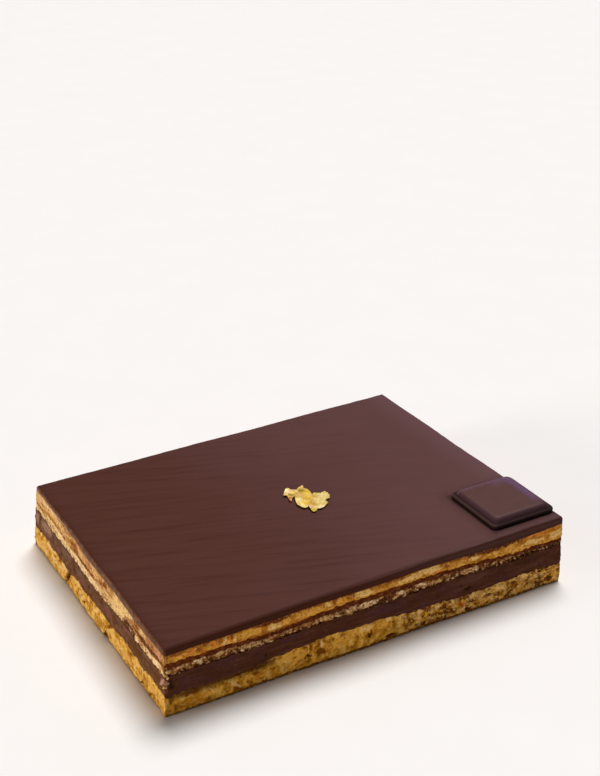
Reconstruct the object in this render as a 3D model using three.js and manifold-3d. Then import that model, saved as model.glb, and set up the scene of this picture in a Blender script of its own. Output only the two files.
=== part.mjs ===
// An opera cake: a low rectangular almond sponge cake in layers, glazed with dark chocolate.
// On top lie a moulded chocolate square in one corner and a crumpled piece of gold leaf.
// Millimetres, +Z up, X along the long side. The origin is under the middle of the cake.

import * as THREE from "three";
import Module from "manifold-3d";

const wasm = await Module();
wasm.setup();

// ---- Driving sizes of the cake -------------------------------------------------------

const LENGTH = 200;
const DEPTH = 149;
const HEIGHT = 33.5;

// How far each corner lies from a true rectangle, in walking order: front left, front right,
// back right, back left. The knife leaned a little, so the base is larger than the top.
const TOP_CORNERS = [[-0.2, 0.3], [0.4, -0.1], [-0.3, 0.2], [0.6, -1.1]];
const BASE_CORNERS = [[-0.7, 1.1], [-0.9, -3.1], [0.4, 1.6], [-1.9, 2.5]];

const LONG_SIDE_STEPS = 38;
const SHORT_SIDE_STEPS = 28;
const SIDE_WAVE = 0.22;

// The rings inside the outline, as shares of the way from the middle to the outline.
const INNER_RING = 0.86;

// Where each layer meets the next, as heights above the base. front runs from the left
// corner to the right one, left from the front to the back, both at equal spacing.
const SPONGE_TOP = {
  front: [10.0, 9.6, 11.2, 12.5, 12.4, 9.8, 9.3, 10.4, 9.0],
  left: [11.2, 10.6, 10.8, 9.0, 9.9],
  backLeft: 10.3,
  backRight: 10.2,
  ripple: 0.4,
};
const GANACHE_TOP = {
  front: [19.8, 19.8, 19.6, 20.3, 19.9, 19.6, 19.4, 19.3, 19.1],
  left: [19.9, 19.7, 18.7, 19.1, 19.5],
  backLeft: 20.4,
  backRight: 19.6,
  ripple: 0.25,
};
const MIDDLE_SPONGE_TOP = {
  front: [23.6, 23.7, 22.5, 23.7, 23.8, 23.4, 22.9, 21.6, 21.0],
  left: [22.8, 22.8, 22.9, 22.9, 23.0],
  backLeft: 23.3,
  backRight: 22.8,
  ripple: 0.2,
};
const THIN_GANACHE_TOP = {
  front: [26.0, 25.7, 24.4, 26.0, 26.2, 25.7, 24.8, 22.9, 22.5],
  left: [25.2, 24.8, 24.4, 24.4, 24.4],
  backLeft: 24.7,
  backRight: 24.4,
  ripple: 0.2,
};
const BUTTERCREAM_TOP = {
  front: [30.2, 30.3, 30.2, 30.3, 30.2, 30.1, 29.4, 28.9, 29.5],
  left: [29.6, 29.6, 29.8, 30.3, 30.8],
  backLeft: 30.9,
  backRight: 30.1,
  ripple: 0.12,
};

// The glaze sets with a soft edge all round.
const GLAZE_EDGE_RADIUS = 1.4;
const GLAZE_EDGE_STEPS = 3;

// ---- Driving sizes of the chocolate square -------------------------------------------

const SQUARE_SIDE = 35;
const SQUARE_CORNER_RADIUS = 3;
const SQUARE_CORNER_STEPS = 6;
const SQUARE_CENTRE = [82.6, -52.3];
const SQUARE_TURN = THREE.MathUtils.degToRad(-0.6);

// Its profile from the foot to the flat face, as insets and heights: a low wall, a narrow rim,
// and a steep bevel that rounds over into the face.
const SQUARE_PROFILE = [
  [0.35, 0], [0, 0.35], [0, 1.5], [0.35, 1.95], [1.1, 2.1], [1.7, 2.7], [2.6, 3.8], [3.4, 4.2],
  [4.6, 4.4],
];

// ---- Driving sizes of the gold leaf --------------------------------------------------

// Each lobe is a crumpled patch: its middle, and its reach every 30 degrees from +X.
const LEAF_EDGE = 0.35;
const LEAF_HEIGHT = 1.9;
const LEAF_STEPS_PER_REACH = 2;
const LEAF_LOBES = [
  { centre: [2.2, 5.2], reach: [4.2, 4.2, 4.4, 5.2, 5.0, 4.4, 4.2, 4.6, 6.2, 4.4, 3.4, 3.8], fold: 0.9 },
  { centre: [5.8, 0.4], reach: [5.6, 6.4, 10.8, 7.6, 6.2, 5.2, 5.0, 6.6, 8.2, 9.4, 9.0, 6.4], fold: 1 },
  { centre: [9.6, -7.2], reach: [3.6, 8.6, 6.4, 6.0, 6.6, 6.4, 6.2, 7.4, 8.8, 6.6, 6.8, 5.6], fold: 0.8 },
];

// ---- Helpers -------------------------------------------------------------------------

// A smooth curve through equally spaced values, read at a share from 0 to 1.
function smoothThrough(values, share) {
  const span = Math.min(share * (values.length - 1), values.length - 1 - 1e-9);
  const i = Math.floor(span);
  const t = span - i;
  const eased = t * t * (3 - 2 * t);
  return THREE.MathUtils.lerp(values[i], values[i + 1], eased);
}

// Joins rings of equal length into one closed shell with a point at each end. The rings up to
// lastBottomRing belong to the underside. Both faces split their quads the same way, so the
// top of one layer and the underside of the next are the same surface.
function closedShell(rings, bottomPole, topPole, lastBottomRing) {
  const count = rings[0].length;
  const points = [...rings.flat(), bottomPole, topPole];
  const positions = points.flatMap((p) => [p.x, p.y, p.z]);
  const bottom = rings.length * count;
  const top = bottom + 1;
  const faces = [];
  for (let k = 0; k < count; k++) {
    const next = (k + 1) % count;
    faces.push(bottom, next, k);
    for (let i = 0; i < rings.length - 1; i++) {
      const [a, b] = [i * count + k, i * count + next];
      const [c, d] = [a + count, b + count];
      if (i < lastBottomRing) {
        faces.push(a, b, c, b, d, c);
      } else {
        faces.push(a, b, d, a, d, c);
      }
    }
    const last = (rings.length - 1) * count;
    faces.push(top, last + k, last + next);
  }
  const geometry = new THREE.BufferGeometry();
  geometry.setAttribute("position", new THREE.Float32BufferAttribute(positions, 3));
  geometry.setIndex(faces);
  return geometry;
}

function finished(name, geometry, color, roughness, metalness = 0) {
  geometry.computeVertexNormals();
  const material = new THREE.MeshStandardMaterial({ color, roughness, metalness });
  const mesh = new THREE.Mesh(geometry, material);
  mesh.name = name;
  return mesh;
}

// ---- The cake's outline --------------------------------------------------------------

const RECTANGLE = [
  [-LENGTH / 2, -DEPTH / 2],
  [LENGTH / 2, -DEPTH / 2],
  [LENGTH / 2, DEPTH / 2],
  [-LENGTH / 2, DEPTH / 2],
];
const OUTWARD = [[0, -1], [1, 0], [0, 1], [-1, 0]];
const SIDE_STEPS = [LONG_SIDE_STEPS, SHORT_SIDE_STEPS, LONG_SIDE_STEPS, SHORT_SIDE_STEPS];

// Every place on the way round: the side it is on, and how far along that side.
const STATIONS = SIDE_STEPS.flatMap((steps, side) =>
  Array.from({ length: steps }, (_, i) => ({ side, along: i / steps })),
);

function corner(index, share) {
  const [x, y] = RECTANGLE[index % 4];
  const base = BASE_CORNERS[index % 4];
  const top = TOP_CORNERS[index % 4];
  return new THREE.Vector2(
    x + THREE.MathUtils.lerp(base[0], top[0], share),
    y + THREE.MathUtils.lerp(base[1], top[1], share),
  );
}

// The hand-cut side at a station and a height, moved outward by outset.
function outlinePoint({ side, along }, z, outset = 0) {
  const share = z / HEIGHT;
  const p = corner(side, share).lerp(corner(side + 1, share), along);
  const wave = SIDE_WAVE * Math.sin(along * Math.PI) * Math.sin(along * 17 + side * 2);
  const [nx, ny] = OUTWARD[side];
  const out = wave + outset;
  const atCorner = along === 0;
  const [px, py] = atCorner ? OUTWARD[(side + 3) % 4] : [0, 0];
  return new THREE.Vector3(p.x + (nx + px) * out, p.y + (ny + py) * out, z);
}

// The height of a boundary at a station.
function boundaryHeight(boundary, { side, along }) {
  const { front, left, backLeft, backRight, ripple } = boundary;
  const sides = [
    front,
    [front.at(-1), backRight],
    [backRight, backLeft],
    [backLeft, ...left.toReversed(), front[0]],
  ];
  const walk = (side + along) * 9;
  const uneven = Math.sin(walk * 2.3) * 0.6 + Math.sin(walk * 5.1 + ripple * 40) * 0.4;
  return smoothThrough(sides[side], along) + ripple * uneven;
}

function meanHeight({ front, left, backLeft, backRight }) {
  const all = [...front, ...left, backLeft, backRight];
  return all.reduce((sum, z) => sum + z, 0) / all.length;
}

// One boundary as an outline ring, an inner ring and a middle point.
function boundarySurface(boundary) {
  const mean = meanHeight(boundary);
  const edge = STATIONS.map((s) => outlinePoint(s, boundaryHeight(boundary, s)));
  return innerPart(edge, mean);
}

function innerPart(edge, mean) {
  const inner = edge.map((p) => new THREE.Vector3(p.x * INNER_RING, p.y * INNER_RING, mean));
  return { edge, inner, pole: new THREE.Vector3(0, 0, mean) };
}

const baseEdge = STATIONS.map((s) => outlinePoint(s, 0));
const BASE = innerPart(baseEdge, 0);

// ---- The layers ----------------------------------------------------------------------

// A layer between two boundary surfaces. The rings between them bulge or sink by bulge.
function layer(lower, upper, bands, bulge) {
  const between = [];
  for (let i = 1; i < bands; i++) {
    const share = i / bands;
    const out = bulge * Math.sin(share * Math.PI);
    between.push(
      STATIONS.map((station, k) => {
        const z = THREE.MathUtils.lerp(lower.edge[k].z, upper.edge[k].z, share);
        return outlinePoint(station, z, out);
      }),
    );
  }
  const rings = [lower.inner, lower.edge, ...between, upper.edge, upper.inner];
  return closedShell(rings, lower.pole, upper.pole, 1);
}

// The glaze: a flat top with a soft edge that curves down to the cut side.
function glazeLayer(lower) {
  const edgeRings = [];
  for (let i = 0; i <= GLAZE_EDGE_STEPS; i++) {
    const angle = (i / GLAZE_EDGE_STEPS) * (Math.PI / 2);
    const inset = GLAZE_EDGE_RADIUS * (1 - Math.cos(angle));
    const z = HEIGHT - GLAZE_EDGE_RADIUS * (1 - Math.sin(angle));
    edgeRings.push(STATIONS.map((station) => outlinePoint(station, z, -inset)));
  }
  const top = innerPart(edgeRings.at(-1), HEIGHT);
  const rings = [lower.inner, lower.edge, ...edgeRings, top.inner];
  return closedShell(rings, lower.pole, top.pole, 1);
}

// ---- The chocolate square ------------------------------------------------------------

// A square with round corners at height z, inset from the full size.
function squareRing(z, inset) {
  const half = SQUARE_SIDE / 2 - inset;
  const radius = Math.max(SQUARE_CORNER_RADIUS - inset / 2, 0.4);
  const ring = [];
  for (let c = 0; c < 4; c++) {
    const turn = (c - 2) * (Math.PI / 2);
    const middle = new THREE.Vector2(half - radius, half - radius).rotateAround(
      new THREE.Vector2(), turn);
    for (let i = 0; i <= SQUARE_CORNER_STEPS; i++) {
      const angle = turn + (i / SQUARE_CORNER_STEPS) * (Math.PI / 2);
      ring.push(new THREE.Vector3(
        middle.x + radius * Math.cos(angle), middle.y + radius * Math.sin(angle), z));
    }
  }
  return ring;
}

// A moulded piece, ring by ring up its profile.
function squareGeometry() {
  const rings = SQUARE_PROFILE.map(([inset, z]) => squareRing(z, inset));
  const thickness = SQUARE_PROFILE.at(-1)[1];
  return closedShell(rings, new THREE.Vector3(0, 0, 0), new THREE.Vector3(0, 0, thickness), 0);
}

// ---- The gold leaf -------------------------------------------------------------------

// How high the crumpled leaf stands at a place, in folds that cross each other.
function crumple(x, y) {
  const fold = Math.abs(Math.sin(x * 0.55 + y * 0.35)) + Math.abs(Math.sin(x * 0.4 - y * 0.6 + 1));
  return LEAF_EDGE + (LEAF_HEIGHT - LEAF_EDGE) * (fold / 2);
}

// One lobe as a closed mound with a ragged outline and a flat underside.
function leafLobe({ centre, reach, fold }) {
  const steps = reach.length * LEAF_STEPS_PER_REACH;
  const closed = [...reach, reach[0]];
  const ring = (share, height) =>
    Array.from({ length: steps }, (_, k) => {
      const angle = (k / steps) * Math.PI * 2;
      const radius = smoothThrough(closed, k / steps) * share;
      const x = centre[0] + radius * Math.cos(angle);
      const y = centre[1] + radius * Math.sin(angle);
      return new THREE.Vector3(x, y, height(x, y));
    });
  const flat = () => 0;
  const rim = () => LEAF_EDGE * fold;
  const folded = (x, y) => crumple(x, y) * fold;
  const rings = [ring(1, flat), ring(0.98, rim), ring(0.72, folded), ring(0.4, folded)];
  const bottomPole = new THREE.Vector3(...centre, 0);
  const topPole = new THREE.Vector3(...centre, folded(...centre));
  return closedShell(rings, bottomPole, topPole, 0);
}

function toSolid(geometry) {
  const mesh = new wasm.Mesh({
    numProp: 3,
    vertProperties: geometry.attributes.position.array,
    triVerts: new Uint32Array(geometry.index.array),
  });
  return new wasm.Manifold(mesh);
}

function leafGeometry() {
  const lobes = LEAF_LOBES.map((lobe) => toSolid(leafLobe(lobe)));
  const joined = lobes.reduce((sum, lobe) => sum.add(lobe)).getMesh();
  const geometry = new THREE.BufferGeometry();
  geometry.setAttribute("position", new THREE.BufferAttribute(joined.vertProperties, 3));
  geometry.setIndex(new THREE.BufferAttribute(joined.triVerts, 1));
  return geometry;
}

// ---- The whole cake ------------------------------------------------------------------

const spongeTop = boundarySurface(SPONGE_TOP);
const ganacheTop = boundarySurface(GANACHE_TOP);
const middleSpongeTop = boundarySurface(MIDDLE_SPONGE_TOP);
const thinGanacheTop = boundarySurface(THIN_GANACHE_TOP);
const buttercreamTop = boundarySurface(BUTTERCREAM_TOP);

const square = finished("chocolate_square", squareGeometry(), 0x3a201d, 0.35);
square.position.set(...SQUARE_CENTRE, HEIGHT);
square.rotation.z = SQUARE_TURN;

const leaf = finished("gold_leaf", leafGeometry(), 0xe3c45a, 0.35, 1);
leaf.position.z = HEIGHT;

const cake = new THREE.Group();
cake.add(
  finished("bottom_sponge", layer(BASE, spongeTop, 3, 0.3), 0xb08a3c, 0.9),
  finished("ganache", layer(spongeTop, ganacheTop, 2, 0.25), 0x3c201c, 0.5),
  finished("middle_sponge", layer(ganacheTop, middleSpongeTop, 1, 0), 0x8a6a4c, 0.9),
  finished("thin_ganache", layer(middleSpongeTop, thinGanacheTop, 1, 0), 0x3c160a, 0.5),
  finished("coffee_buttercream", layer(thinGanacheTop, buttercreamTop, 2, 0.2), 0xc99a5c, 0.6),
  finished("chocolate_glaze", glazeLayer(buttercreamTop), 0x4a2a26, 0.35),
  square,
  leaf,
);

// The middle of the whole footprint goes over the origin.
const footprint = new THREE.Box3().setFromObject(cake).getCenter(new THREE.Vector3());
cake.position.set(-footprint.x, -footprint.y, 0);

const group = new THREE.Group();
group.add(cake);

export default group;
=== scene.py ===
# %% [markdown]
# # A whole opera cake
# The cake is a low slab of almond sponge, ganache and coffee buttercream under a dark
# chocolate glaze. A moulded chocolate square lies in one corner and a scrap of gold leaf near
# the middle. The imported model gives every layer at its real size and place. This script keeps
# those places and makes the surfaces: cut crumb, smeared cream, satin glaze and crumpled leaf.

# %% The frame and the tools
import math
import random

import bmesh
import bpy
import numpy as np
from mathutils import Matrix, Vector, noise


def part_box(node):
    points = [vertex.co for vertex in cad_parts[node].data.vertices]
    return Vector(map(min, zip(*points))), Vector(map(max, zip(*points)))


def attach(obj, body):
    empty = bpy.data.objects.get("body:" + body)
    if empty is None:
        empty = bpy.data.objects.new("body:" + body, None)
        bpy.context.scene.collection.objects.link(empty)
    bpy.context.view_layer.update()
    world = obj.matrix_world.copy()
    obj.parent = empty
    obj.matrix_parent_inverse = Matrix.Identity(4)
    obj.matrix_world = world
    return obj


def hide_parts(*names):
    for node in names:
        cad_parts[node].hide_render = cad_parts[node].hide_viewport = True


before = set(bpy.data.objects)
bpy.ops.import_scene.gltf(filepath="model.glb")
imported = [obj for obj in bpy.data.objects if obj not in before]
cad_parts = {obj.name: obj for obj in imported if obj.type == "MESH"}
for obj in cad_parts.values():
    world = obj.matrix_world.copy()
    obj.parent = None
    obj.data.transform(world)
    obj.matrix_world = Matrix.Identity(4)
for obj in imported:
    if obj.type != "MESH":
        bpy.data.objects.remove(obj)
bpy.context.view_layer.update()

MM = 0.001
print("layers and toppings:", sorted(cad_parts))

# %% [markdown]
# ## Camera
# The cake is seen from its left front corner, from above. Azimuth turns the camera round the
# cake, elevation lifts it, and the lens is a short telephoto, so the long edges stay nearly
# parallel. The camera looks straight along its axis, so no lens shift is needed.

# %% Camera
AZIMUTH = math.radians(-30.04)
ELEVATION = math.radians(25.7)
LENS = 59.5
CAMERA_PLACE = Vector((-256.72, -451.74, 342.17)) * MM

towards_camera = Vector((
    math.sin(AZIMUTH) * math.cos(ELEVATION),
    -math.cos(AZIMUTH) * math.cos(ELEVATION),
    math.sin(ELEVATION),
))
bpy.ops.object.camera_add(location=CAMERA_PLACE)
camera = bpy.context.object
camera.name = "camera"
camera.data.lens = LENS
camera.data.sensor_width = 36
camera.data.clip_start = 0.01
camera.rotation_mode = "QUATERNION"
camera.rotation_quaternion = (-towards_camera).to_track_quat("-Z", "Y")
bpy.context.scene.camera = camera
print("camera at", [round(c, 3) for c in camera.location], "lens", LENS)

# %% [markdown]
# ## Light and floor
# A high soft key stands a little behind the cake on its right, so the front is in shade and
# each topping has a short soft shadow at its left and front. A low window on the left lights
# the left cut side, and a faint cool light from the right draws the edges of the chocolate. The
# floor is plain and pale, lies a hair under the cake, and throws light up into the cut sides.

# %% Light and floor
FLOOR_SIZE, FLOOR_GAP = 12, 0.0002


def add_sun(name, azimuth, elevation, power, softness, tint):
    """Even light from one side. Azimuth 0 is the front, 90 the right; softness in degrees."""
    around, up = math.radians(azimuth), math.radians(elevation)
    source = Vector((
        math.sin(around) * math.cos(up), -math.cos(around) * math.cos(up), math.sin(up)))
    bpy.ops.object.light_add(type="SUN", location=source)
    light = bpy.context.object
    light.name = name
    light.data.energy = power
    light.data.angle = math.radians(softness)
    light.data.color = tint
    light.rotation_mode = "QUATERNION"
    light.rotation_quaternion = source.to_track_quat("Z", "Y")


add_sun("key", azimuth=137, elevation=66, power=2.85, softness=30, tint=(1.0, 0.97, 0.96))
add_sun("window", azimuth=-96, elevation=8, power=1.7, softness=24, tint=(1.0, 0.95, 0.88))
add_sun("rim", azimuth=120, elevation=24, power=0.12, softness=50, tint=(0.88, 0.84, 1.0))

world = bpy.data.worlds.new("studio")
world.use_nodes = True
world.node_tree.nodes["Background"].inputs["Color"].default_value = (1.0, 0.98, 0.97, 1)
world.node_tree.nodes["Background"].inputs["Strength"].default_value = 0.13
bpy.context.scene.world = world
bpy.context.scene.view_settings.view_transform = "Standard"

bpy.ops.mesh.primitive_plane_add(size=FLOOR_SIZE, location=(0, 0, -FLOOR_GAP))
floor = bpy.context.object
floor.name = "floor"

# %% [markdown]
# ## Colours and shader sums
# A finish is a small tree of nodes. Writing it as sums keeps it readable: a Mask wraps a socket,
# and plus, minus and times on it add Math nodes. Colours are given as they look on a screen,
# from 0 to 255, and are turned into the linear light that the shader works in. A ground tone
# from a ramp is tinted area by area, and each area is a Mask with the tone it leans towards.

# %% Colours and masks
def colour(red, green, blue):
    """A screen colour as linear light."""
    def linear(channel):
        share = channel / 255
        return share / 12.92 if share <= 0.04045 else ((share + 0.055) / 1.055) ** 2.4
    return (linear(red), linear(green), linear(blue), 1.0)


class Mask:
    """A socket that sums like a number."""

    def __init__(self, finish, socket):
        self.finish = finish
        self.socket = socket

    def _sum(self, operation, first, second=0.0):
        return self.finish.add("ShaderNodeMath", {"operation": operation}, {0: first, 1: second})

    def __add__(self, other):
        return self._sum("ADD", self, other)

    def __sub__(self, other):
        return self._sum("SUBTRACT", self, other)

    def __mul__(self, other):
        return self._sum("MULTIPLY", self, other)

    def __rsub__(self, other):
        return self._sum("SUBTRACT", other, self)

    __radd__ = __add__
    __rmul__ = __mul__

    def between(self, low, high):
        """0 below low, 1 above high, smooth in between. With low over high it falls."""
        settings = {"interpolation_type": "SMOOTHSTEP"}
        if low > high:
            rising = self.finish.add("ShaderNodeMapRange", settings, {0: self, 1: high, 2: low})
            return 1 - rising
        return self.finish.add("ShaderNodeMapRange", settings, {0: self, 1: low, 2: high})

    def within(self, start, end, soft=2.0):
        """1 from start to end; each end is a fade soft wide."""
        rise = self.between(start - soft / 2, start + soft / 2)
        return rise * self.between(end + soft / 2, end - soft / 2)


# %% A finish
class Finish:
    """A material that is built node by node around one Principled shader."""

    def __init__(self, name, roughness=0.6, metallic=0.0, shine=0.5):
        self.material = bpy.data.materials.new(name)
        self.material.use_nodes = True
        self.tree = self.material.node_tree
        self.shader = self.tree.nodes["Principled BSDF"]
        self.shader.inputs["Roughness"].default_value = roughness
        self.shader.inputs["Metallic"].default_value = metallic
        self.shader.inputs["Specular IOR Level"].default_value = shine
        self.place = self.add("ShaderNodeTexCoord", out="Object")
        self.x, self.y, self.z = self.split(self.place)

    def add(self, kind, settings=None, sockets=None, out=0):
        """One node: its settings first, then the values or links of its sockets."""
        node = self.tree.nodes.new(kind)
        for key, value in (settings or {}).items():
            if key == "stops":
                self._stops(node.color_ramp, value)
            else:
                setattr(node, key, value)
        for key, value in (sockets or {}).items():
            self.feed(node.inputs[key], value)
        return Mask(self, node.outputs[out])

    def _stops(self, ramp, stops):
        while len(ramp.elements) < len(stops):
            ramp.elements.new(0.5)
        for element, (place, shade) in zip(ramp.elements, stops):
            element.position = place
            element.color = colour(*shade)

    def feed(self, socket, value):
        """Links a Mask or sets a value. A colour socket takes a screen colour."""
        if isinstance(value, Mask):
            self.tree.links.new(value.socket, socket)
        elif socket.type == "RGBA":
            socket.default_value = colour(*value)
        else:
            socket.default_value = value

    def split(self, vector):
        """The three coordinates in millimetres."""
        node = self.tree.nodes.new("ShaderNodeSeparateXYZ")
        self.feed(node.inputs[0], vector)
        return [Mask(self, node.outputs[i]) * (1 / MM) for i in range(3)]

    def stretched(self, x=1, y=1, z=1, turn=0):
        """The place on the cake, turned and with each axis scaled, for streaks and smears."""
        settings = {"vector_type": "TEXTURE"}
        sockets = {"Vector": self.place, "Rotation": (0, 0, turn), "Scale": (1 / x, 1 / y, 1 / z)}
        return self.add("ShaderNodeMapping", settings, sockets)

    def noise(self, grain, detail=3, roughness=0.55, place=None):
        """Soft lumps about grain millimetres apart, from 0 to 1."""
        sockets = {
            "Vector": place or self.place, "Scale": 1 / (grain * MM),
            "Detail": detail, "Roughness": roughness,
        }
        return self.add("ShaderNodeTexNoise", None, sockets)

    def stored(self, name):
        """A number that the mesh keeps at each point."""
        return self.add("ShaderNodeAttribute", {"attribute_name": name}, out="Fac")

    def blend(self, share, first, second):
        settings = {"data_type": "RGBA"}
        return self.add("ShaderNodeMix", settings, {0: share, 6: first, 7: second}, out=2)

    def tint(self, base, *areas):
        """Blends base, area by area, towards the colour that comes with each."""
        for share, shade in areas:
            base = self.blend(share, base, shade)
        return base

    def ramp(self, value, stops):
        return self.add("ShaderNodeValToRGB", {"stops": stops}, {0: value})

    def colour_from(self, shade):
        self.feed(self.shader.inputs["Base Color"], shade)

    def roughness_from(self, value):
        self.feed(self.shader.inputs["Roughness"], value)

    def bump_from(self, height, depth):
        """Fine relief, depth in millimetres for a height from 0 to 1."""
        sockets = {"Height": height, "Distance": depth * MM}
        bump = self.add("ShaderNodeBump", None, sockets)
        self.feed(self.shader.inputs["Normal"], bump)


# %% The floor's finish
floor_finish = Finish("pale_floor", roughness=0.9, shine=0.2)
grain = floor_finish.noise(40, detail=2)
floor_finish.colour_from(floor_finish.blend(grain, (244, 243, 241), (248, 247, 246)))
floor.data.materials.append(floor_finish.material)
print("floor finish has", len(floor_finish.tree.nodes), "nodes")

# %% [markdown]
# ## Finding a place on the cake
# Every detail of a cut side is named by how far along that side it lies and by its height. The
# way along the front runs from the left corner to the right one, and along the left side from
# the front corner to the back one, both in millimetres. A cut side has no straight borders, so
# a noise bends all three numbers.

# %% Places on the cut sides
GLAZE_LOW, GLAZE_HIGH = (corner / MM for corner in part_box("chocolate_glaze"))
SIDES = {"front": (1, -1), "right": (0, 1), "back": (1, 1), "left": (0, -1)}
BENT_ALONG, ALONG_GRAIN = 5.0, 3.0
BENT_UP, UP_GRAIN = 2.2, 2.2
CORNER_SOFT = 0.3
FRONT_SKIN, LEFT_SKIN = (3.2, 2.2), (3.0, 2.0)


class CutFinish(Finish):
    """A finish for cut sides, which knows the sides of the cake."""

    def __init__(self, name, **settings):
        super().__init__(name, **settings)
        bend = (self.noise(ALONG_GRAIN, detail=2) - 0.5) * BENT_ALONG
        self.front_way = self.x - GLAZE_LOW.x + bend
        self.left_way = self.y - GLAZE_LOW.y + bend
        self.height = self.z + (self.noise(UP_GRAIN, detail=2) - 0.5) * BENT_UP
        from_left, from_front = self.x - GLAZE_LOW.x, self.y - GLAZE_LOW.y
        beside_left = (from_front - from_left).between(-CORNER_SOFT, CORNER_SOFT)
        self.front = (1 - beside_left) * from_front.between(*FRONT_SKIN)
        self.left = beside_left * from_left.between(*LEFT_SKIN)

    def over(self, ground):
        """Lays the daubs that the mesh keeps over the ground colour."""
        shade = self.add("ShaderNodeAttribute", {"attribute_name": DAUB_SHADE}, out="Color")
        bare = self.blend(self.stored(DAUB_COVER), ground, (0, 0, 0))
        settings = {"data_type": "RGBA", "blend_type": "ADD"}
        return self.add("ShaderNodeMix", settings, {0: 1.0, 6: bare, 7: shade}, out=2)


def gap_to(points, side):
    """How far inside the plane of that side each point lies, in millimetres."""
    axis, sign = SIDES[side]
    edge = GLAZE_HIGH[axis] if sign > 0 else GLAZE_LOW[axis]
    return sign * (edge - points[:, axis])


def near_side(points, side, depth=2.5):
    """Whether each point lies less than depth millimetres inside that side."""
    return gap_to(points, side) < depth


def way_along(points, side):
    """How far along that side each point lies, in millimetres."""
    axis = 1 - SIDES[side][0]
    return points[:, axis] - GLAZE_LOW[axis]


print("glaze from", GLAZE_LOW, "to", GLAZE_HIGH)

# %% [markdown]
# What the knife left on a cut side is given as daubs, as a painter would set them: each layer
# has a few named tones, such as syrup or pale crumb, and each tone has its ovals. They are laid
# over each other point by point, bent and torn by noise, and stored with the mesh. A shader
# could lay them too, but it would need hundreds of nodes.

# %% Daubs
DAUB_SHADE, DAUB_COVER = "daub_shade", "daub_cover"
BEND_GRAIN, BEND_ALONG, BEND_UP = 3.0, 1.2, 0.6
TEAR_GRAIN, TEAR_COARSE, TEAR_FINE = 1.1, 0.42, 0.3
OVAL_FULL, OVAL_GONE = 0.75, 1.3
SKIN_FULL, SKIN_GONE = 2.0, 3.0


def noise_field(points, grain, seed):
    """One number from about -1 to 1 for each point; grain in millimetres."""
    return np.array([noise.noise(Vector((x, y, z + seed)) / grain) for x, y, z in points.tolist()])


def smooth(value, low, high):
    """0 at low, 1 at high, smooth in between. With low over high it falls."""
    share = np.clip((value - low) / (high - low), 0, 1)
    return share * share * (3 - 2 * share)


def keep_number(piece, name, values):
    """Stores one number for each point with the mesh."""
    attribute = piece.data.attributes.new(name, "FLOAT", "POINT")
    attribute.data.foreach_set("value", values.astype(np.float32))


def daub(piece, **sides):
    """Lays daubs on sides of a piece: tone by tone, ovals (along, up, length, tall, lean)."""
    points = points_of(piece) / MM
    bend = noise_field(points, BEND_GRAIN, seed=11) * BEND_ALONG
    rise = noise_field(points, BEND_GRAIN, seed=47) * BEND_UP
    torn = TEAR_COARSE * noise_field(points, TEAR_GRAIN, seed=5)
    torn += TEAR_FINE * noise_field(points, TEAR_GRAIN / 2, seed=9)
    shades, cover, laid = np.zeros((len(points), 3)), np.zeros(len(points)), 0
    for side, tones in sides.items():
        gap = gap_to(points, side)
        beside = [gap_to(points, other) for other in SIDES if SIDES[other][0] != SIDES[side][0]]
        on_side = smooth(gap, SKIN_GONE, SKIN_FULL)
        on_side *= smooth(np.min(beside, axis=0) - gap, -CORNER_SOFT, CORNER_SOFT)
        way, height = way_along(points, side) + bend, points[:, 2] + rise
        for tone, ovals in tones:
            for along, up, length, tall, *lean in ovals:
                turn = sum(lean)
                across, above = way - along, height - up
                long_way = (across * math.cos(turn) + above * math.sin(turn)) / (length / 2)
                short_way = (above * math.cos(turn) - across * math.sin(turn)) / (tall / 2)
                rim = np.hypot(long_way, short_way) + torn
                share = on_side * (1 - smooth(rim, OVAL_FULL, OVAL_GONE))
                shades += share[:, None] * (np.array(colour(*tone)[:3]) - shades)
                cover += share * (1 - cover)
                laid += 1
    stored = piece.data.attributes.new(DAUB_SHADE, "FLOAT_VECTOR", "POINT")
    stored.data.foreach_set("vector", shades.astype(np.float32).ravel())
    keep_number(piece, DAUB_COVER, cover)
    print(f"{piece.name}: {laid} daubs")


# %% [markdown]
# ## Working on a cut layer
# Each layer already has its true outline, so a copy of it is a better start than a box. Its cut
# sides are divided finely and pressed with textures by Displace modifiers, as a knife tears the
# crumb. Only the cut sides change. Three numbers are kept with the mesh for each point: how far
# it moved (relief), how much lower it lies than its neighbours (pits) and how far it faces down
# (overhang). So the finish can deepen the tone exactly where the crumb lies in shade.

# %% Choosing a piece, its points and its faces
STEEP = 0.5


def only(piece):
    """Makes piece the one selected and active object."""
    bpy.ops.object.select_all(action="DESELECT")
    piece.select_set(True)
    bpy.context.view_layer.objects.active = piece


def points_of(piece, kind="co"):
    """The place of each point, or another vector that it has, as rows of three."""
    rows = np.empty((len(piece.data.vertices), 3), np.float32)
    piece.data.vertices.foreach_get(kind, rows.ravel())
    return rows


def normals_of(piece):
    return points_of(piece, "normal")


def select_faces(piece, wanted):
    """Selects the faces for which wanted says yes, and nothing else."""
    for vertex in piece.data.vertices:
        vertex.select = False
    for edge in piece.data.edges:
        edge.select = False
    for face in piece.data.polygons:
        face.select = wanted(face)


def is_steep(face):
    return abs(face.normal.z) < STEEP


def steep_points(piece):
    """1 for the points on the cut sides, 0 for the rest."""
    sides = np.zeros(len(piece.data.vertices))
    for face in piece.data.polygons:
        if is_steep(face):
            sides[list(face.vertices)] = 1
    return sides


# %% Copying a layer
UPRIGHT = 0.7


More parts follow.
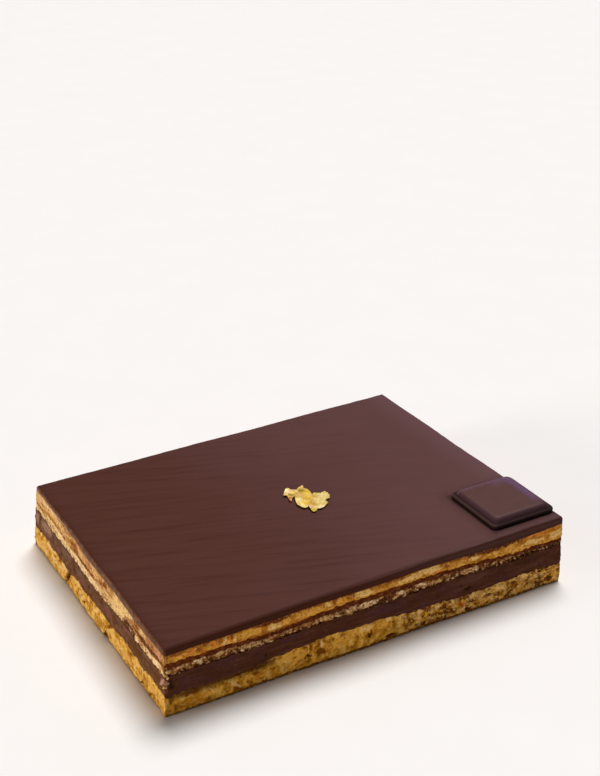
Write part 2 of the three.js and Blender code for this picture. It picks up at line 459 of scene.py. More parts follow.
def copy_of_layer(node, name, cuts, divided=is_steep, rows=0):
    """A merged copy of a CAD layer, in quads, its divided faces cut finely, rows finer yet."""
    piece = bpy.data.objects.new(name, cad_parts[node].data.copy())
    piece.data.name = name
    piece.data.materials.clear()
    bpy.context.scene.collection.objects.link(piece)
    only(piece)
    bpy.ops.object.mode_set(mode="EDIT")
    bpy.ops.mesh.select_all(action="SELECT")
    bpy.ops.mesh.remove_doubles(threshold=1e-6)
    bpy.ops.mesh.customdata_custom_splitnormals_clear()
    bpy.ops.mesh.tris_convert_to_quads(face_threshold=1.2, shape_threshold=1.2)
    bpy.ops.object.mode_set(mode="OBJECT")
    select_faces(piece, divided)
    bpy.ops.object.mode_set(mode="EDIT")
    bpy.ops.mesh.subdivide(number_cuts=cuts, ngon=True)
    bpy.ops.object.mode_set(mode="OBJECT")
    if rows:
        cut_upright_edges(piece, rows)
    return piece


def cut_upright_edges(piece, cuts):
    """Divides the upright edges of the cut sides again, for layers that are tall."""
    steep = {key for face in piece.data.polygons if is_steep(face) for key in face.edge_keys}
    select_faces(piece, lambda face: False)
    for edge in piece.data.edges:
        first, second = (piece.data.vertices[i].co for i in edge.vertices)
        run = second - first
        edge.select = edge.key in steep and abs(run.z) > UPRIGHT * run.length
    bpy.ops.object.mode_set(mode="EDIT")
    bpy.ops.mesh.select_mode(type="EDGE")
    bpy.ops.mesh.subdivide(number_cuts=cuts)
    bpy.ops.mesh.select_mode(type="FACE")
    bpy.ops.object.mode_set(mode="OBJECT")


# %% Pressing a texture into a layer
CUT_SIDES = "cut_sides"
WEIGHT_STEPS = 20


def group_of(piece, name, weights):
    """A vertex group; each point's weight is rounded to one of WEIGHT_STEPS steps."""
    group = piece.vertex_groups.new(name=name)
    for step in range(1, WEIGHT_STEPS + 1):
        share = step / WEIGHT_STEPS
        near = np.flatnonzero(np.abs(weights - share) <= 0.5 / WEIGHT_STEPS)
        group.add(near.tolist(), share, "REPLACE")


def clouds(name, grain, depth=2, basis="BLENDER_ORIGINAL", contrast=1.0):
    texture = bpy.data.textures.new(name, "CLOUDS")
    texture.noise_scale = grain * MM
    texture.noise_depth = depth
    texture.noise_basis = basis
    texture.contrast = contrast
    return texture


def press(piece, texture, strength, group=CUT_SIDES, direction="NORMAL", middle=0.5):
    """Pushes the grouped points of piece by a texture; strength in millimetres."""
    only(piece)
    bpy.ops.object.modifier_add(type="DISPLACE")
    modifier = piece.modifiers[-1]
    modifier.texture = texture
    modifier.texture_coords = "LOCAL"
    modifier.strength = strength * MM
    modifier.mid_level = middle
    modifier.direction = direction
    modifier.vertex_group = group
    bpy.ops.object.modifier_apply(modifier=modifier.name)


# %% [markdown]
# Two neighbours share a boundary, so both are frayed with the same texture and the same weights
# and still meet. Boundaries fray most where the crumb is, and hardly at all under the glaze. On
# the left side the blade dragged, so the boundary over the bottom sponge is torn in steps there.

# %% Fraying the boundaries
FRAYED, FRAY, FRAY_DEPTH = "frayed", clouds("frayed_edges", 2.4, depth=3), 2.0
TORN, TEAR, TEAR_DEPTH = "torn", clouds("torn_edges", 6.5, depth=1), 4.5
LEFT_FACE = 96, 98
TORN_STARTS, TORN_ENDS = (3, 9), (13, 18)
FRAY_STARTS, FRAY_EASES, FRAY_ENDS = (0, 5), (26, 29), (31, 32)


def ready_layer(node, name, cuts, rows=0):
    """A layer with its groups, its boundaries frayed the same way as its neighbours'."""
    piece = copy_of_layer(node, name, cuts, rows=rows)
    sides = steep_points(piece)
    points = points_of(piece) / MM
    height = points[:, 2]
    group_of(piece, CUT_SIDES, sides)
    low_boundary = smooth(height, *TORN_STARTS) * (1 - smooth(height, *TORN_ENDS))
    group_of(piece, TORN, sides * smooth(-points[:, 0], *LEFT_FACE) * low_boundary)
    loose = smooth(height, *FRAY_STARTS) * (1 - 0.7 * smooth(height, *FRAY_EASES))
    group_of(piece, FRAYED, sides * loose * (1 - smooth(height, *FRAY_ENDS)))
    press(piece, TEAR, TEAR_DEPTH, TORN, "Z")
    press(piece, FRAY, FRAY_DEPTH, FRAYED, "Z")
    return piece


# %% Keeping the relief
EVEN_ROUNDS = 6


def evened(piece, values):
    """Each value averaged with its neighbours' EVEN_ROUNDS times."""
    count = len(values)
    ends = np.empty(len(piece.data.edges) * 2, np.int32)
    piece.data.edges.foreach_get("vertices", ends)
    first, second = ends.reshape(-1, 2).T
    near = 1 + np.bincount(first, minlength=count) + np.bincount(second, minlength=count)
    for _ in range(EVEN_ROUNDS):
        from_second = np.bincount(first, values[second], count)
        from_first = np.bincount(second, values[first], count)
        values = (values + from_second + from_first) / near
    return values


def keep_relief(piece, before, normals):
    """Stores relief and pits, in millimetres, and overhang, from -1 to 1."""
    moved = ((points_of(piece) - before) * normals).sum(1) / MM
    pits = evened(piece, moved) - moved
    keep_number(piece, "relief", moved)
    keep_number(piece, "pits", pits)
    keep_number(piece, "overhang", -normals_of(piece)[:, 2])
    print(f"{piece.name}: {len(piece.data.polygons)} faces, relief "
          f"{moved.min():.2f} to {moved.max():.2f} mm, pits to {pits.max():.2f} mm")


def tear_sides(piece, *steps):
    """Presses clouds (name, grain, depth, strength) into the cut sides and keeps the relief."""
    before, normals = points_of(piece), normals_of(piece)
    for name, grain, depth, strength in steps:
        press(piece, clouds(name, grain, depth), strength)
    keep_relief(piece, before, normals)


# %% Handing a piece over
def hand_over(piece, finish, node=None, sharp=75):
    """The last steps of a piece: shading, finish, body, slot and the node it stands for."""
    only(piece)
    bpy.ops.object.shade_smooth_by_angle(angle=math.radians(sharp))
    piece.vertex_groups.clear()
    piece.data.materials.clear()
    piece.data.materials.append(finish.material)
    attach(piece, "root")
    if node:
        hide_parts(node)


# %% [markdown]
# ## Bottom sponge
# Joconde sponge soaked in coffee syrup: a golden crumb with open pores, brown where the syrup
# has pooled, and paler crumbs torn by the knife. Broad lumps come first, then pores that open
# in patches, then the fine grain. A plain noise would give the same pore everywhere, so the
# pores are pressed through a group whose weights come and go along the side. The larger pits,
# and a slanting notch on the left, are dents at places of their own.

# %% Pressing a crumb
OPEN_CRUMB = "open_crumb"
OPENS = 25, -15
LEAST_OPEN, PATCH_EDGES = 0.2, (-0.15, 0.3)
LUMP_GRAIN, CRUMB_GRAIN, FINE_GRAIN = 4.5, 1.1, 0.7
CRUMB_SHARE = 0.35
DENT_REACH = 6


def crumb_relief(piece, lumps, pores, grain, pore=1.5, patch=5.0, closed=0.0, dents=()):
    """Presses a torn crumb into the cut sides; closed is how tight it is at the left end."""
    points = points_of(piece) / MM
    open_share = 1 - closed * smooth(points[:, 0], *OPENS)
    patches = smooth(noise_field(points, patch, seed=0), *PATCH_EDGES)
    open_share *= LEAST_OPEN + (1 - LEAST_OPEN) * patches
    group_of(piece, OPEN_CRUMB, steep_points(piece) * open_share)
    before, normals = points_of(piece), normals_of(piece)
    press(piece, clouds(piece.name + "_lumps", LUMP_GRAIN), lumps)
    pore_texture = clouds(
        piece.name + "_pores", pore, depth=1, basis="VORONOI_F1", contrast=1.5)
    press(piece, pore_texture, pores, OPEN_CRUMB, middle=0.75)
    crumb_texture = clouds(
        piece.name + "_crumbs", CRUMB_GRAIN, depth=0, basis="VORONOI_F2_F1", contrast=1.3)
    press(piece, crumb_texture, pores * CRUMB_SHARE, OPEN_CRUMB, middle=0.4)
    press(piece, clouds(piece.name + "_grain", FINE_GRAIN), grain)
    for dent in dents:
        push_in(piece, *dent)
    keep_relief(piece, before, normals)


def push_in(piece, side, along, height, length, tall, depth, lean=0.0):
    """Presses one dent into a side; lean slants it, in millimetres along for each one up."""
    points = points_of(piece) / MM
    up = points[:, 2] - height
    across = way_along(points, side) - along - lean * up
    depths = depth * np.exp(-(across / length) ** 2 - (up / tall) ** 2)
    depths *= near_side(points, side, DENT_REACH)
    axis, sign = SIDES[side]
    points[:, axis] -= sign * depths
    piece.data.vertices.foreach_set("co", (points * MM).astype(np.float32).ravel())
    piece.data.update()


# %% The bottom sponge's shape
SPONGE_DENTS = [
    ("left", 108.4, 5.6, 1.7, 4.2, 3.0, -0.75), ("left", 23.5, 1.8, 1.5, 1.2, 1.5),
    ("left", 63, 1.4, 1.4, 0.9, 1.3), ("front", 65.3, 5.8, 1.0, 0.9, 1.2),
    ("front", 71, 6.5, 2.0, 1.8, 0.8), ("front", 95.5, 6.2, 0.9, 0.8, 1.1),
    ("front", 106.5, 2.0, 2.5, 1.0, 1.3), ("front", 124, 3.0, 3.5, 1.2, 1.0),
    ("front", 147.5, 1.8, 1.6, 1.0, 1.4), ("front", 171, 2.8, 1.6, 1.2, 1.2),
    ("front", 187, 2.4, 1.6, 1.0, 1.2), ("right", 40, 5.0, 1.4, 1.6, 1.2, 0.5),
    ("right", 112, 3.0, 1.8, 1.2, 1.1), ("back", 55, 4.0, 1.6, 1.6, 1.2, -0.4),
    ("back", 140, 2.5, 1.6, 1.2, 1.2),
]
bottom_sponge = ready_layer("bottom_sponge", "golden_sponge", 13, rows=1)
crumb_relief(
    bottom_sponge, lumps=0.7, pores=0.85, grain=0.25, pore=2.0, closed=0.55, dents=SPONGE_DENTS)

# %% The bottom sponge's daubs
PALE_CRUMB, GOLD_CRUMB, AMBER_CRUMB = (255, 204, 122), (244, 176, 66), (208, 138, 34)
# The pit tone is painted shade, laid in the pits and dents of the crumb.
SYRUP, PIT_SHADE, RUST, SMEARED = (140, 80, 14), (92, 48, 8), (205, 105, 35), (98, 58, 24)
PRESSED_PALE, PRESSED_GOLD, PRESSED_AMBER = (238, 196, 126), (226, 170, 82), (192, 136, 44)
SPONGE_FRONT = [
    (AMBER_CRUMB, [(41, 5, 6, 3), (12, 4, 9, 4), (99, 7.5, 6, 3), (142, 6.4, 4, 2)]),
    (GOLD_CRUMB, [
        (60.5, 8.2, 10, 4.4), (55, 10.6, 4, 2), (80, 8, 8, 4), (86.5, 9.5, 6, 3.4), (102, 9, 6, 3),
        (157, 4, 5, 2), (176, 3, 5, 2.6), (196.5, 5.5, 5, 4), (20, 5, 7, 3), (126, 6.4, 4, 2)]),
    (SMEARED, [(32, 10, 30, 2.6), (22, 10.6, 20, 2.4)]),
    (SYRUP, [
        (10, 8, 5, 2.4), (40, 7, 2.8, 2.2), (66.5, 9.8, 1.8, 4.6), (71.5, 6, 5.6, 3.4),
        (95.6, 8.2, 1.6, 3), (116, 5.6, 6, 3.6), (174, 5.8, 6, 2.4), (188, 2.1, 5, 2),
        (178, 11.4, 6, 1.8), (132, 4.4, 8, 1.6), (136, 5.8, 5, 3.6), (148, 6.4, 4, 1.4),
        (158, 9.6, 8, 1.2)]),
    (RUST, [(144.6, 4.8, 4.2, 2.4), (41, 3, 2, 1), (138.6, 6.4, 3, 1.6)]),
    (PALE_CRUMB, [
        (20.5, 6, 5, 1.0, -0.7), (28.5, 6.8, 4, 0.9, -0.7), (31.5, 4.3, 6, 1.1, -0.6),
        (47.5, 10.6, 2.4, 1.6), (63.5, 12.6, 3.4, 1.2), (72, 9.8, 1.4, 4.4, 0.3),
        (93.2, 10.4, 5.4, 2.8), (105, 11, 4.4, 1.8), (112, 9.6, 3, 1.6),
        (122.3, 8.8, 3.6, 1.6, -0.5), (128.3, 7.5, 2.2, 2.6), (131.2, 8.6, 2.4, 2.0),
        (138.5, 8.5, 3.0, 2.2), (148.5, 9, 3.4, 1.4), (154.5, 7.4, 6.4, 2.0), (162, 2.6, 5, 1.6),
        (164, 7, 3.6, 2.2), (168.6, 5.6, 2.2, 5.0), (179.6, 8.8, 2.2, 3.6, 0.5),
        (184.6, 6.6, 4.6, 2.0), (184.4, 2.3, 2.2, 2.0), (191, 6.3, 4.4, 1.8)]),
    # Painted shade in the pits and dents.
    (PIT_SHADE, [
        (65.3, 5.8, 3.0, 2.0), (95.6, 6.3, 2.4, 2.4), (106.3, 1.9, 5.6, 2.0), (125, 1.8, 9, 1.8),
        (147.6, 1.9, 3.4, 1.8), (168.8, 1.9, 4.4, 1.6), (135.2, 6.6, 2.2, 4.2),
        (137, 3.8, 7, 1.8), (141.2, 9.2, 2.6, 1.6), (150.6, 5.2, 2.6, 1.4), (159.6, 5.6, 2.4, 1.4),
        (171.8, 3.6, 2.4, 1.6), (173, 7.8, 3.4, 1.4), (181.2, 4.6, 2.6, 1.4), (188, 8.6, 3, 1.2),
        (193.4, 3.2, 3.4, 1.2), (119, 10.2, 2.4, 1.0)]),
    # A band in the syrup tone makes the bottom edge darker along its whole length.
    (SYRUP, [(100, 0.7, 220, 1.2)]),
]
SPONGE_LEFT = [
    (PRESSED_AMBER, [(80.5, 6, 8, 3), (69, 5, 6, 4), (50, 8.8, 7, 3.4)]),
    (PRESSED_GOLD, [
        (143, 6, 8, 3.4), (136, 6.4, 7, 4), (100, 7, 6, 4), (40, 5, 13, 4.4), (13, 7, 8, 4),
        (4.5, 5.5, 7, 4)]),
    (PRESSED_PALE, [
        (130, 9.2, 14, 2.2), (112.5, 7.4, 5, 5), (94, 9.6, 9, 2.0), (73, 9, 6, 3),
        (124, 5.4, 8, 2.6), (90, 5.6, 7, 2.4), (138, 3.6, 7, 2.4),
        (21.5, 11, 4, 5), (30, 7, 5, 1, -0.7), (46, 5, 5, 1, -0.7), (118, 5, 6, 1, -0.6)]),
    (SYRUP, [
        (117.5, 9, 4, 2), (58, 8.4, 7, 1.5, -0.7), (15.5, 2, 5, 1.2, -0.6), (87, 4, 5, 1, -0.6),
        (34.5, 9.4, 6, 1.2, -0.8)]),
    (SMEARED, [(105.2, 10.0, 6, 3.0, -0.8)]),
    # Painted shade in the notch and the dents.
    (PIT_SHADE, [(108.4, 5.4, 14, 2.9, -0.89), (63, 1.8, 5, 3.2, -0.5), (24, 2.4, 4, 2.0, -0.6)]),
]

daub(bottom_sponge, front=SPONGE_FRONT, left=SPONGE_LEFT)

# %% [markdown]
# The ground under the daubs wanders from syrup brown to pale almond, which a ramp makes from a
# soft noise. On the right half of the front the crumb is coarser: pale clumps, with painted shade
# in the dark gaps between them. Pits and undersides are deepened last as painted shade, because
# little light reaches them.

# %% The bottom sponge's finish
sponge = CutFinish("golden_crumb", roughness=0.9, shine=0.03)
coarse = sponge.front * sponge.front_way.between(104, 122)
mottle = sponge.noise(3.6, detail=3, roughness=0.6, place=sponge.stretched(1.1, 1.1, 0.9))
broad = sponge.noise(9, detail=3)
fine = sponge.noise(0.8, detail=3)
flecks = sponge.noise(1.5, detail=3, roughness=0.6)
clumps = sponge.noise(3.3, detail=3, roughness=0.5)
morsels = sponge.noise(2.2, detail=2, roughness=0.5)
ground = sponge.ramp(mottle, [
    (0.34, (146, 86, 14)), (0.44, (208, 142, 38)), (0.53, (238, 174, 58)),
    (0.64, (255, 204, 104))])
ground = sponge.tint(
    ground,
    (broad.between(0.46, 0.36) * 0.4, (168, 106, 26)),
    ((1 - sponge.front) * 0.6,
     sponge.blend(mottle.between(0.42, 0.58), (184, 128, 42), (240, 194, 106))),
    (coarse * clumps.between(0.53, 0.6) * 0.5, (248, 198, 120)),
    (coarse * flecks.between(0.52, 0.6) * 0.7, (255, 214, 144)),
    # Painted shade in the dark gaps between the clumps.
    (coarse * clumps.between(0.5, 0.42) * 0.95, (114, 58, 14)))
sponge.colour_from(sponge.tint(
    sponge.over(ground),
    (coarse * morsels.between(0.48, 0.4) * 0.4, (134, 70, 14)),
    (coarse * morsels.between(0.54, 0.61) * 0.3, (255, 214, 136)),
    (flecks.between(0.53, 0.64) * 0.3, (255, 212, 128)),
    (flecks.between(0.45, 0.34) * 0.35, (124, 68, 10)),
    (sponge.left * sponge.height.between(9.4, 11.4) * flecks.between(0.58, 0.44) * 0.6,
     (150, 88, 38)),
    (sponge.stored("pits").between(0.0, 0.16) * 0.75, (176, 100, 14)),
    (sponge.stored("overhang").between(0.15, 0.7) * 0.6, (200, 118, 26)),
    (sponge.front * sponge.front_way.between(54, 46) * sponge.height.between(5.6, 9.4) * 0.85,
     (84, 48, 16)),
    (sponge.stored("relief").between(-0.6, -1.5) * 0.9, (96, 48, 10)),
    # Darker towards the bottom edge.
    (sponge.z.between(1.1, 0.1) * 0.6, (92, 64, 12))))
sponge.bump_from(fine, 0.13)
hand_over(bottom_sponge, sponge, "bottom_sponge")

# %% [markdown]
# ## Ganache
# Chocolate and cream, set firm. The knife leaves it nearly smooth, with long level smears and
# a few soft tears. It is satin, and the side that faces the window is painted paler, as painted
# sheen. Near the back, where the blade polished it, a painted highlight makes it paler still.

# %% The ganache's shape
ganache = ready_layer("ganache", "dark_ganache", 11, rows=1)
tear_sides(ganache, ("ganache_swell", 8.0, 2, 0.6), ("ganache_tears", 2.2, 3, 0.45))

# %% The ganache's daubs
OILY, PLUM, SCRAPED, BLACK = (100, 60, 28), (82, 46, 44), (100, 62, 50), (50, 24, 10)
POLISHED_HIGHLIGHT, DUSTY = (150, 116, 88), (112, 84, 64)
PURPLISH, CRUMB_PINK = (118, 72, 60), (184, 138, 116)
GANACHE_FRONT = [
    (OILY, [(33, 9.6, 28, 1.8), (188.5, 9.8, 5.5, 3.2)]),
    (PLUM, [(25, 18, 12, 3), (58, 18, 9, 3), (103, 16.5, 14, 4), (165, 12.2, 7, 2)]),
    (SCRAPED, [(150, 17, 18, 3.4)]),
    (BLACK, [(45.6, 14.2, 1.2, 2.6), (147, 13, 5.5, 2), (2.6, 15.6, 2, 5)]),
]
GANACHE_LEFT = [
    (DUSTY, [(110, 16.2, 10, 4), (92, 16, 6, 3)]),
    # A painted highlight near the back, where the blade polished the satin.
    (POLISHED_HIGHLIGHT, [(135, 17.2, 13, 4.4), (147, 16.5, 4, 5)]),
    (PURPLISH, [
        (134, 13.2, 6, 2.6), (120, 13.6, 7, 2.6), (88, 13.6, 8, 3), (59, 15, 8, 3.6),
        (44, 14.4, 5, 3)]),
    (SMEARED, [
        (143.4, 16, 1.4, 7), (105, 19.6, 9, 1.2), (100, 15, 3, 8), (81, 11.6, 9, 1.8),
        (52, 16.4, 3, 5.5), (29, 15.5, 12, 5.5), (14, 17, 2.8, 6), (8, 15, 8, 6), (70, 18, 3, 4)]),
    (PURPLISH, [(38, 20, 9, 3.4)]),
    (CRUMB_PINK, [(4, 16.2, 6, 1.4, -0.8), (0.4, 16.8, 2, 3)]),
]

daub(ganache, front=GANACHE_FRONT, left=GANACHE_LEFT)

# %% The ganache's finish
dark = CutFinish("dark_ganache", roughness=0.6, shine=0.03)
smears = dark.noise(3, detail=4, place=dark.stretched(0.25, 0.25, 1.6))
blotches = dark.noise(2.5, detail=4, roughness=0.6)
hues = dark.noise(6, detail=2)
ground = dark.tint(
    dark.ramp(smears, [
        (0.34, (76, 40, 22)), (0.52, (86, 47, 30)), (0.7, (98, 58, 44))]),
    (hues.between(0.5, 0.62) * 0.4, (84, 48, 50)),
    # Painted sheen: the side that faces the window is paler.
    (dark.left, dark.ramp(blotches, [
        (0.36, (84, 48, 26)), (0.5, (104, 66, 42)), (0.66, (126, 86, 60))])))
dark.colour_from(dark.tint(
    dark.over(ground),
    (blotches.between(0.42, 0.3) * 0.5, (58, 26, 14)),
    (blotches.between(0.58, 0.7) * 0.25, (126, 86, 68)),
    # Painted shade deep in the tears of the relief.
    (dark.stored("relief").between(-0.15, -0.45) * 0.7, (56, 26, 14))))
dark.bump_from(smears, 0.3)
hand_over(ganache, dark, "ganache")

# %% [markdown]
# ## Middle sponge
# A thin sheet of the same sponge between two dark layers. On the front the crumb is torn: pale
# crumbs with dark pits in some stretches, and chocolate dragged over it in the others. On the
# left side the knife pressed cream over it, as a smooth pale band, and dragged cream, glaze and
# crumbs over each other. So one set of daubs goes over the three layers under the glaze there.

# %% Smears on the left side
CREAM, PALE_CREAM, YELLOW_CREAM, ROSE_CREAM = (
    (224, 182, 120), (246, 210, 158), (240, 200, 130), (208, 146, 110))
TAN, AMBER, BROWN, COCOA = (174, 120, 80), (176, 120, 38), (136, 74, 20), (100, 56, 28)
LEFT_SMEARS = [
    (CREAM, [
        (140, 28, 18, 5), (125, 28.5, 12, 3), (115, 28.4, 8, 3), (106, 27, 9, 3),
        (90, 27.5, 10, 2.6), (73.5, 27.8, 7, 3), (60, 23.3, 13, 3.4, -0.12), (67, 21.8, 8, 2.6),
        (57, 21, 8, 2.8), (21.5, 28, 9, 2.6), (140, 21, 18, 2.2)]),
    (TAN, [
        (105, 29.6, 12, 1.6), (80, 27.4, 8, 2.4), (86, 29.4, 18, 1.6), (69, 25, 8, 2),
        (59, 28.8, 9, 1.8), (16, 28, 5, 2.2), (9, 27, 4, 3), (35, 29.8, 7, 1.4),
        (63, 20.2, 4, 1.6), (23.5, 21.8, 6, 1.5)]),
    (PALE_CREAM, [
        (122, 23, 21, 2.4, 0.08), (89, 21.3, 36, 3.6), (78, 21.3, 9, 2.4), (29, 21.1, 5, 2.2),
        (18, 21.7, 6, 1.8), (10, 21.4, 8, 2.2), (131, 29.6, 16, 1.2), (128, 23.8, 9, 2.8),
        (96, 28.4, 5, 1.0, -0.5), (118, 28.4, 6, 1.0, -0.4)]),
    (ROSE_CREAM, [(5, 28, 4, 3.4, -0.6), (95, 29, 6, 1.4, -0.5), (86, 28, 4, 1.2, -0.6)]),
    (AMBER, [
        (125, 25.8, 20, 2.2), (105, 26.2, 8, 2.4), (57, 25.8, 5, 1.6), (7, 24.4, 6, 1.8),
        (2.5, 27, 3, 4), (139, 27, 8, 1.2), (52, 29.4, 14, 1.0), (6, 20.2, 3, 1.4)]),
    (BROWN, [
        (98.5, 26.8, 9, 4.4), (85, 24.3, 28, 2.0), (115, 30, 8, 1.0), (66, 26.4, 5, 2.2),
        (62, 27.2, 6, 3), (28, 28, 6, 3.2), (12, 27.6, 3, 2.6), (26, 29.6, 9, 1.8, -0.45)]),
    (COCOA, [(17, 24.9, 34, 2.2), (38, 21.6, 16, 5.2), (1, 21.5, 3, 5)]),
    (YELLOW_CREAM, [
        (48.6, 24.4, 10.6, 11), (43, 26.6, 18, 6.6, -0.5), (38, 27.8, 13, 3.0, -0.35),
        (50, 27, 6, 4), (46, 22.4, 6, 3.4)]),
]

# %% The middle sponge's shape
middle_sponge = ready_layer("middle_sponge", "pale_sponge", 17)
crumb_relief(middle_sponge, lumps=0.5, pores=1.0, grain=0.4, patch=4.0)

# %% The middle sponge's daubs
LOOSE_PALE, LOOSE_DULL, SOAKED = (252, 216, 164), (216, 170, 112), (166, 116, 64)
CRUMB_FRONT = [
    (SOAKED, [
        (29.5, 22.2, 5, 2.2), (62.5, 23, 6, 1.6), (65, 21.8, 4, 1.8), (113.8, 21.5, 4, 1.8),
        (161, 20.3, 4, 1.4), (168, 21.2, 8, 1.4), (11, 21.6, 4, 2)]),
    (LOOSE_DULL, [
        (7.5, 22.6, 5, 1.9), (24, 22.3, 5, 1.8), (36, 21.7, 4.6, 2.2), (41, 21.4, 4, 2.0),
        (46, 21, 3.2, 1.8), (73.5, 22.5, 4.2, 2.0), (78.3, 21.9, 5.4, 2.2), (85.4, 21, 2, 1.8),
        (108, 20.8, 2.4, 1.2), (131, 21.5, 3.6, 1.8), (147, 22.1, 8, 1.9), (55, 21.4, 4, 1.4)]),
    (LOOSE_PALE, [
        (14.2, 22.4, 4.8, 1.8, -0.4), (86.3, 22.3, 5.0, 1.9), (93, 22, 5.0, 2.1),
        (97.4, 22.1, 4.4, 2.1), (111.2, 22.3, 3.8, 1.8), (122.8, 22, 5.2, 1.7, -0.4),
        (148.3, 21, 8, 1.5)]),
    (COCOA, [(52.5, 20.6, 6, 1.2), (103.5, 21.5, 8, 2.0), (139, 22, 6, 2)]),
    (COCOA, [(177, 22, 20, 2.0), (192, 21, 12, 2.2), (158, 22.4, 8, 1.4)]),
    # Painted shade in two pits.
    (PIT_SHADE, [(13.8, 21.1, 2.6, 1.0), (20, 21, 3.6, 1.4)]),
]

daub(middle_sponge, front=CRUMB_FRONT, left=LEFT_SMEARS)

# %% The middle sponge's finish
pale = CutFinish("pale_crumb", roughness=0.9, shine=0.03)
flecks = pale.noise(1.6, detail=3, roughness=0.6)
fine = pale.noise(0.8, detail=3)
opened = (1 - pale.front) * (1 - pale.left) * pale.noise(9, detail=2).between(0.44, 0.54)
crumb_tone = pale.ramp(flecks, [
    (0.34, (66, 34, 14)), (0.43, (138, 92, 44)), (0.52, (190, 146, 84)),
    (0.64, (232, 204, 150))])
dragged = pale.ramp(flecks, [
    (0.36, (78, 38, 16)), (0.48, (136, 82, 40)), (0.62, (196, 142, 84))])
cream_band = pale.ramp(flecks, [
    (0.34, (186, 136, 80)), (0.46, (218, 174, 114)), (0.6, (240, 208, 154))])
ground = pale.tint(
    pale.blend(opened, dragged, crumb_tone),
    (pale.front * pale.height.between(22.6, 23.8) * 0.6, (98, 46, 20)),
    (pale.left, cream_band))
pale.colour_from(pale.tint(
    pale.over(ground),
    (flecks.between(0.45, 0.34) * 0.5, (92, 52, 22)),
    (flecks.between(0.54, 0.66) * 0.5, (255, 224, 172)),
    (pale.front * pale.height.between(20.9, 20.1) * flecks.between(0.6, 0.5) * 0.8,
     (44, 18, 6)),
    # Painted shade: darker in pits, on undersides and deep in the relief.
    (pale.stored("pits").between(0.0, 0.2) * 0.8, (108, 58, 18)),
    (pale.stored("overhang").between(0.2, 0.7) * 0.5, (132, 76, 30)),
    (pale.stored("relief").between(-0.4, -1.0) * 0.8, (52, 24, 8))))
pale.bump_from(fine, 0.2)
hand_over(middle_sponge, pale, "middle_sponge")

# %% [markdown]
# ## Thin ganache
# A thin dark line, pressed into the crumb below and the cream above. On the left side amber
# cream has been dragged over most of it.

# %% Thin ganache
thin_ganache = ready_layer("thin_ganache", "ganache_line", 13)
tear_sides(thin_ganache, ("line_tears", 1.6, 2, 0.7))

daub(thin_ganache, left=LEFT_SMEARS)
line = CutFinish("ganache_line", roughness=0.65, shine=0.03)
smears = line.noise(2, detail=4, roughness=0.6)
ground = line.tint(
    line.ramp(smears, [
        (0.38, (86, 32, 6)), (0.52, (100, 44, 16)), (0.68, (136, 76, 34))]),
    (line.left, line.ramp(smears, [
        (0.38, (140, 78, 28)), (0.5, (186, 124, 62)), (0.62, (222, 168, 104))])))
line.colour_from(line.tint(
    line.over(ground),
    (smears.between(0.44, 0.34) * 0.4, (80, 36, 12))))
line.bump_from(smears, 0.3)
hand_over(thin_ganache, line, "thin_ganache")

# %% [markdown]
# ## Coffee buttercream
# Butter, egg and coffee whipped to an amber cream. The cut face is grainy, with bright specks,
# paler smears and short orange-brown drag marks close to the glaze. At the right end of the
# front it shows two tones, orange over pale gold.

# %% The buttercream's shape
buttercream = ready_layer("coffee_buttercream", "coffee_buttercream_layer", 13)
tear_sides(buttercream, ("cream_lumps", 3.0, 2, 0.7), ("cream_grain", 1.0, 2, 0.4))

# %% The buttercream's daubs
BUTTER, GOLDEN, ORANGE, OCHRE = (255, 206, 122), (240, 172, 68), (228, 134, 46), (192, 120, 20)
DRAGGED, UNDER_GLAZE = (160, 92, 30), (96, 42, 16)
CREAM_FRONT = [
    (GOLDEN, [
        (37, 27.8, 9, 3.4), (40.5, 27.6, 5, 3.2), (54.8, 27, 5, 3), (66, 27.8, 11, 2.8),
        (81.4, 28.4, 5, 2.8), (170, 25.5, 6, 2.6), (6, 28, 5, 3)]),
    (BUTTER, [
        (49, 26.7, 7, 3.2, -0.2), (75, 28.9, 4, 2.4), (93, 28.4, 8, 2.8, -0.12),
        (116, 27.9, 12, 2.6, 0.05), (123.5, 29, 7, 2.6), (129, 28.2, 7, 3.2),
        (150.5, 27.4, 6, 2.4), (184, 25.5, 12, 2.6, -0.1), (197, 25.4, 8, 3.6)]),
    (ORANGE, [
        (11, 28.2, 7, 2.6), (22, 28.4, 3.4, 3.2), (131.6, 26.3, 5, 2.2), (188, 28.9, 22, 3.0),
        (29.5, 28, 2, 3)]),
    (OCHRE, [
        (44.8, 27.6, 2.6, 3.6), (84.2, 28.8, 2.4, 2), (103, 28.9, 4, 2.4), (58.3, 28.6, 3, 2.2),
        (195.5, 28, 8, 1.8), (178, 27.6, 8, 1.4)]),
    (BUTTER, [(27, 27.8, 1.8, 4.6), (31.6, 27.6, 1.4, 3.6)]),
    (DRAGGED, [
        (15.6, 28.8, 2.0, 3.4), (18.6, 29.4, 1.6, 2), (24.8, 28.8, 1.8, 3.2), (78, 29.2, 2, 2.6),
        (107.5, 29.7, 10, 1.6), (135.2, 28.4, 2, 3.4), (140, 29.4, 8, 1.4), (29.6, 29, 1.4, 2.6),
        (5, 29.6, 8, 1.2)]),
    (UNDER_GLAZE, [(48.5, 29.5, 16, 1.8), (163, 28.8, 28, 2.6), (152, 29.4, 14, 1.4)]),
]

daub(buttercream, front=CREAM_FRONT, left=LEFT_SMEARS)

